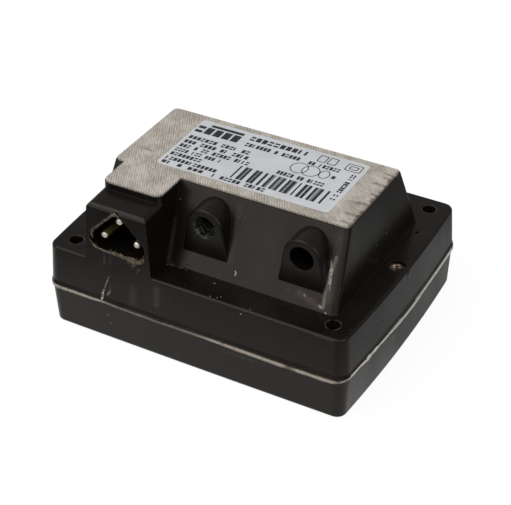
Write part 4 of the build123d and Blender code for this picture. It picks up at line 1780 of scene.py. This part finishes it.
@dataclass
class EarthPoint:
    """The threaded insert in the right flange, and black lumps in it that paint its shade.

    Fields: pitch and depth of the thread, grid of the insert, its clearance in the flange, depth
    of the countersink, chamfer of the outer edge, and radius and places of the black lumps of
    painted shade, off the insert's axis.
    """

    pitch: float = 0.7
    thread_depth: float = 0.38
    sides: int = 72
    stations: int = 90
    clearance: float = 0.02
    countersink: float = 0.45
    chamfer: float = 0.15
    lump: float = 0.85
    lumps: tuple[tuple[float, float], ...] = ((0.9, -1.1), (1.5, -0.2), (0.1, -1.5), (0.7, -0.4))

    def insert(self) -> bpy.types.Object:
        """A sleeve whose bore carries a thread.

        At a turn a and height z the bore's radius is the core radius plus thread_depth times a
        triangle wave of z / pitch - a / 2 pi; the outside is a plain cylinder.

        Returns:
            The sleeve.
        """
        low, high = node_box("earth_insert")
        outer = (high[0] - low[0]) / 2 - self.clearance
        core = mount("earth_thread")["dims"]["r_mm"]
        x, y = (low[0] + high[0]) / 2, (low[1] + high[1]) / 2
        angle = np.linspace(0, TURN, self.sides, endpoint=False)[None, :]
        rise = np.linspace(low[2], high[2], self.stations)[:, None]
        phase = rise / self.pitch - angle / TURN
        ridge = 1 - np.abs(2 * (phase - np.floor(phase)) - 1)
        flare = np.clip((rise - high[2] + self.countersink) / self.countersink, 0, 1)
        inner = core + self.thread_depth * np.maximum(ridge, flare)
        ring = np.full_like(inner[:1], outer)
        radius = np.concatenate([inner, ring - self.chamfer, ring, ring])
        z = np.concatenate([rise, [[high[2]], [high[2] - self.chamfer], [low[2]]]])
        points = np.stack(np.broadcast_arrays(
            x + radius * np.cos(angle), y + radius * np.sin(angle), z), axis=-1)
        return surface_object("threaded_insert", points, wrap_rows=True)

    def darkening(self) -> bpy.types.Object:
        """Black dented lumps in the front right half of the thread: painted shade in the shadowed
        bore.

        Returns:
            The lumps as one object.
        """
        low, high = node_box("earth_insert")
        middle = (low + high) / 2
        offsets = np.array(self.lumps)
        height = np.full((len(offsets), 1), high[2] - middle[2] - self.lump)
        centres = middle + np.concatenate([offsets, height], axis=-1)
        return crumbs("insert_grease", centres, np.full(len(offsets), self.lump), 91)

    def build(self) -> None:
        """Make the insert and the black lumps of painted shade in it."""
        piece = self.insert()
        rusty = Metal("insert_rust", tone(150, 138, 124), tone(104, 88, 72), 0.5, 0.4, 0.7,
                      patch=0.8, depth=0.08)
        dress(piece, rusty.build())
        place(piece, "insert_metal", "earth_insert")
        # Black lumps that paint the shade in the insert's front-right bore and ring.
        darkening = self.darkening()
        dress(darkening, Dull("black_grease", tone(12, 11, 10), tone(6, 5, 5), 0.5).build())
        place(darkening, "insert_metal")


@dataclass
class Innards:
    """What the resin surrounds: core, coils, leads and contacts, each with its finish.

    Fields: distance between the core's sheets and between the turns of wire.
    """

    sheet_pitch: float = 0.5
    wire_pitch: float = 0.3

    def finishes(self) -> dict[str, bpy.types.Material]:
        """One material for each kind of inner stock.

        Returns:
            The materials by the stock's name.
        """
        steel = tone(150, 152, 156)
        return {
            "core": Layered("core_steel", steel, tone(52, 50, 48), self.sheet_pitch, Axis.Z,
                            1.0, 0.4).build(),
            "magnetic": Layered("shunt_steel", steel, tone(52, 50, 48), self.sheet_pitch,
                                Axis.Z, 1.0, 0.45).build(),
            "winding": Layered("copper_wire", tone(184, 104, 62), tone(84, 36, 20),
                               self.wire_pitch, Axis.X, 0.9, 0.35).build(),
            "former": Dull("former_plastic", tone(206, 200, 186), tone(188, 180, 164), 0.5)
            .build(),
            "lead": Dull("lead_insulation", tone(150, 38, 30), tone(120, 28, 22), 0.55)
            .build(),
            "contact": Metal("contact_brass", tone(206, 178, 112), tone(150, 120, 70), 0.3,
                             0.25, 0.45).build(),
            "resin": Dull("potting_resin", tone(58, 50, 44), tone(40, 34, 30), 0.3, 1.2, 0.03)
            .build(),
        }

    def build(self) -> None:
        """Dress every inner node by the word in its name."""
        stock = self.finishes()
        words = {
            "core": "core", "magnetic": "magnetic", "winding": "winding", "former": "former",
            "lead": "lead", "contact": "contact", "strap": "contact", "resin": "resin",
        }
        for name, node in frame["nodes"].items():
            kind = next((kind for word, kind in words.items() if word in name), None)
            if kind is not None:
                dress(node, stock[kind])
                LOG.info("%s dressed as %s", name, kind)


@dataclass(frozen=True)
class Lamp:
    """A square soft lamp: name, place and side length in millimetres, and power in watts."""

    name: str
    position: Point
    size: float
    power: float

    def build(self, aim: Point) -> None:
        """Hang the lamp.

        Args:
            aim: The place that it looks at, in millimetres.
        """
        data = bpy.data.lights.new(self.name, "AREA")
        data.energy = self.power
        data.size = self.size * MM
        lamp = bpy.data.objects.new(self.name, data)
        look = (Vector(aim) - Vector(self.position)).to_track_quat("-Z", "Y")
        lamp.matrix_world = (Matrix.Translation(Vector(self.position) * MM)
                             @ look.to_matrix().to_4x4())
        bpy.context.scene.collection.objects.link(lamp)


@dataclass
class Studio:
    """Floor, lamps, white surroundings and the camera at the photo's viewpoint.

    Fields: the camera's angles in degrees, distance and shifts in millimetres and lens; side
    length of the floor; its paint and its glow for eye rays; the glow that reflections see near
    the part and away from it, and the two distances, with how much longer they are along X; the
    glow's share behind on the right, and between which two sums of x and y it fades; level of
    the surroundings for plain light; what reflections see of them in front and behind, and the
    two directions along Y between which that fades; and the lamps and where they look.
    """

    azimuth: float = 29.603
    elevation: float = 35.344
    roll: float = -0.623
    distance: float = 482.545
    right_offset: float = 0.014
    up_offset: float = 15.06
    lens: float = 102.8
    floor_size: float = 6000.0
    floor_paint: float = 0.12
    floor_glow: float = 0.92
    glow_near: float = 0.70
    glow_far: float = 0.15
    glow_side: float = 0.48
    near: float = 70.0
    far: float = 115.0
    longer: float = 1.4
    side_starts: float = 20.0
    side_full: float = 70.0
    ambient: float = 0.55
    seen_front: float = 1.0
    seen_back: float = 0.42
    front_to: float = -0.7
    back_from: float = 0.5
    aim: Point = (0.0, 0.0, 25.0)
    lamps: tuple[Lamp, ...] = (
        Lamp("key", (-300, -350, 700), 800, 3.15),
        Lamp("side", (650, -150, 420), 450, 1.2),
        Lamp("front", (-360, -810, 150), 420, 0.6),
    )

    def camera(self) -> None:
        """The camera: its back vector from azimuth and elevation, turned by the roll."""
        a, e, r = (math.radians(v) for v in (self.azimuth, self.elevation, self.roll))
        back = Vector((math.sin(a) * math.cos(e), -math.cos(a) * math.cos(e), math.sin(e)))
        level = Vector((math.cos(a), math.sin(a), 0))
        above = back.cross(level)
        right = level * math.cos(r) + above * math.sin(r)
        up = above * math.cos(r) - level * math.sin(r)
        place_mm = back * self.distance + level * self.right_offset + above * self.up_offset
        turn = Matrix((right, up, back)).transposed().to_4x4()
        data = bpy.data.cameras.new("photo_camera")
        data.lens = self.lens
        data.clip_end = 50
        camera = bpy.data.objects.new("photo_camera", data)
        camera.matrix_world = Matrix.Translation(place_mm * MM) @ turn
        bpy.context.scene.collection.objects.link(camera)
        bpy.context.scene.camera = camera

    def floor(self) -> None:
        """A white floor: paint that takes the shadow, and a glow that only eye rays see.

        The distance from the part is |(x / longer, y)|, because the part is longer along X.
        """
        half = self.floor_size / 2
        corners = np.array([[-half, -half, 0], [half, -half, 0], [half, half, 0],
                            [-half, half, 0]])
        piece = make_object("floor", corners, np.array([[0, 1, 2, 3]]))
        g = Graph("floor_white")
        paint = g.add("ShaderNodeBsdfDiffuse")
        paint.inputs["Color"].default_value = (self.floor_paint,) * 3 + (1.0,)
        squeezed = g.vector("MULTIPLY", g.place, (1 / self.longer, 1.0, 0.0))
        reach = g.vector("LENGTH", squeezed)
        fade = g.ramp(reach, self.near * MM, self.far * MM, self.glow_near, self.glow_far)
        corner = g.math("ADD", g.along(Axis.X), g.along(Axis.Y))
        side = g.ramp(corner, self.side_starts * MM, self.side_full * MM, 1.0, self.glow_side)
        fade = g.math("MULTIPLY", fade, side)
        strength = g.math("ADD", g.math("MULTIPLY", g.camera_rays(), self.floor_glow),
                          g.math("MULTIPLY", g.gloss_rays(), fade))
        glow = g.add("ShaderNodeEmission")
        g.plug(glow.inputs["Strength"], strength)
        both = g.add("ShaderNodeAddShader")
        g.plug(both.inputs[0], paint.outputs[0])
        g.plug(both.inputs[1], glow.outputs[0])
        output = g.add("ShaderNodeOutputMaterial")
        g.plug(output.inputs["Surface"], both.outputs[0])
        dress(piece, g.material)

    def surroundings(self) -> None:
        """White for the camera, softer for reflections, and a plain level of light otherwise.

        What reflections see goes from front to back with the direction's part along Y.
        """
        world = bpy.data.worlds.new("studio")
        bpy.context.scene.world = world
        world.use_nodes = True
        n = Nodes(world.node_tree)
        direction = n.add("ShaderNodeSeparateXYZ")
        n.plug(direction.inputs[0], n.add("ShaderNodeTexCoord").outputs["Generated"])
        seen = n.ramp(direction.outputs[Axis.Y.value], self.front_to, self.back_from,
                      self.seen_front, self.seen_back, "LINEAR")
        plain = n.between(n.gloss_rays(), self.ambient, seen)
        sky = n.add("ShaderNodeBackground")
        n.plug(sky.inputs["Strength"], n.between(n.camera_rays(), plain, 1.0))
        output = n.add("ShaderNodeOutputWorld")
        n.plug(output.inputs["Surface"], sky.outputs[0])

    def build(self) -> None:
        """Set the studio up."""
        self.camera()
        self.floor()
        self.surroundings()
        for lamp in self.lamps:
            lamp.build(self.aim)
        bpy.context.scene.view_settings.view_transform = "Standard"


def write_sizes() -> None:
    """Define a helper that turns a box into plain lists; nothing is written."""
    def plain(box: object) -> list[list[float]]:
        """A box as plain lists."""
        return [[float(v) for v in corner] for corner in box]


def main() -> None:
    """Build the studio and every sub-assembly in order."""
    logging.basicConfig(level=logging.INFO, format="%(name)s: %(message)s")
    for part in (Studio(), Case(), Inlet(), Outlets(), TopBoard(), EarthPoint(), Innards()):
        LOG.info("building %s", type(part).__name__)
        part.build()
    write_sizes()


if __name__ == "__main__":
    main()
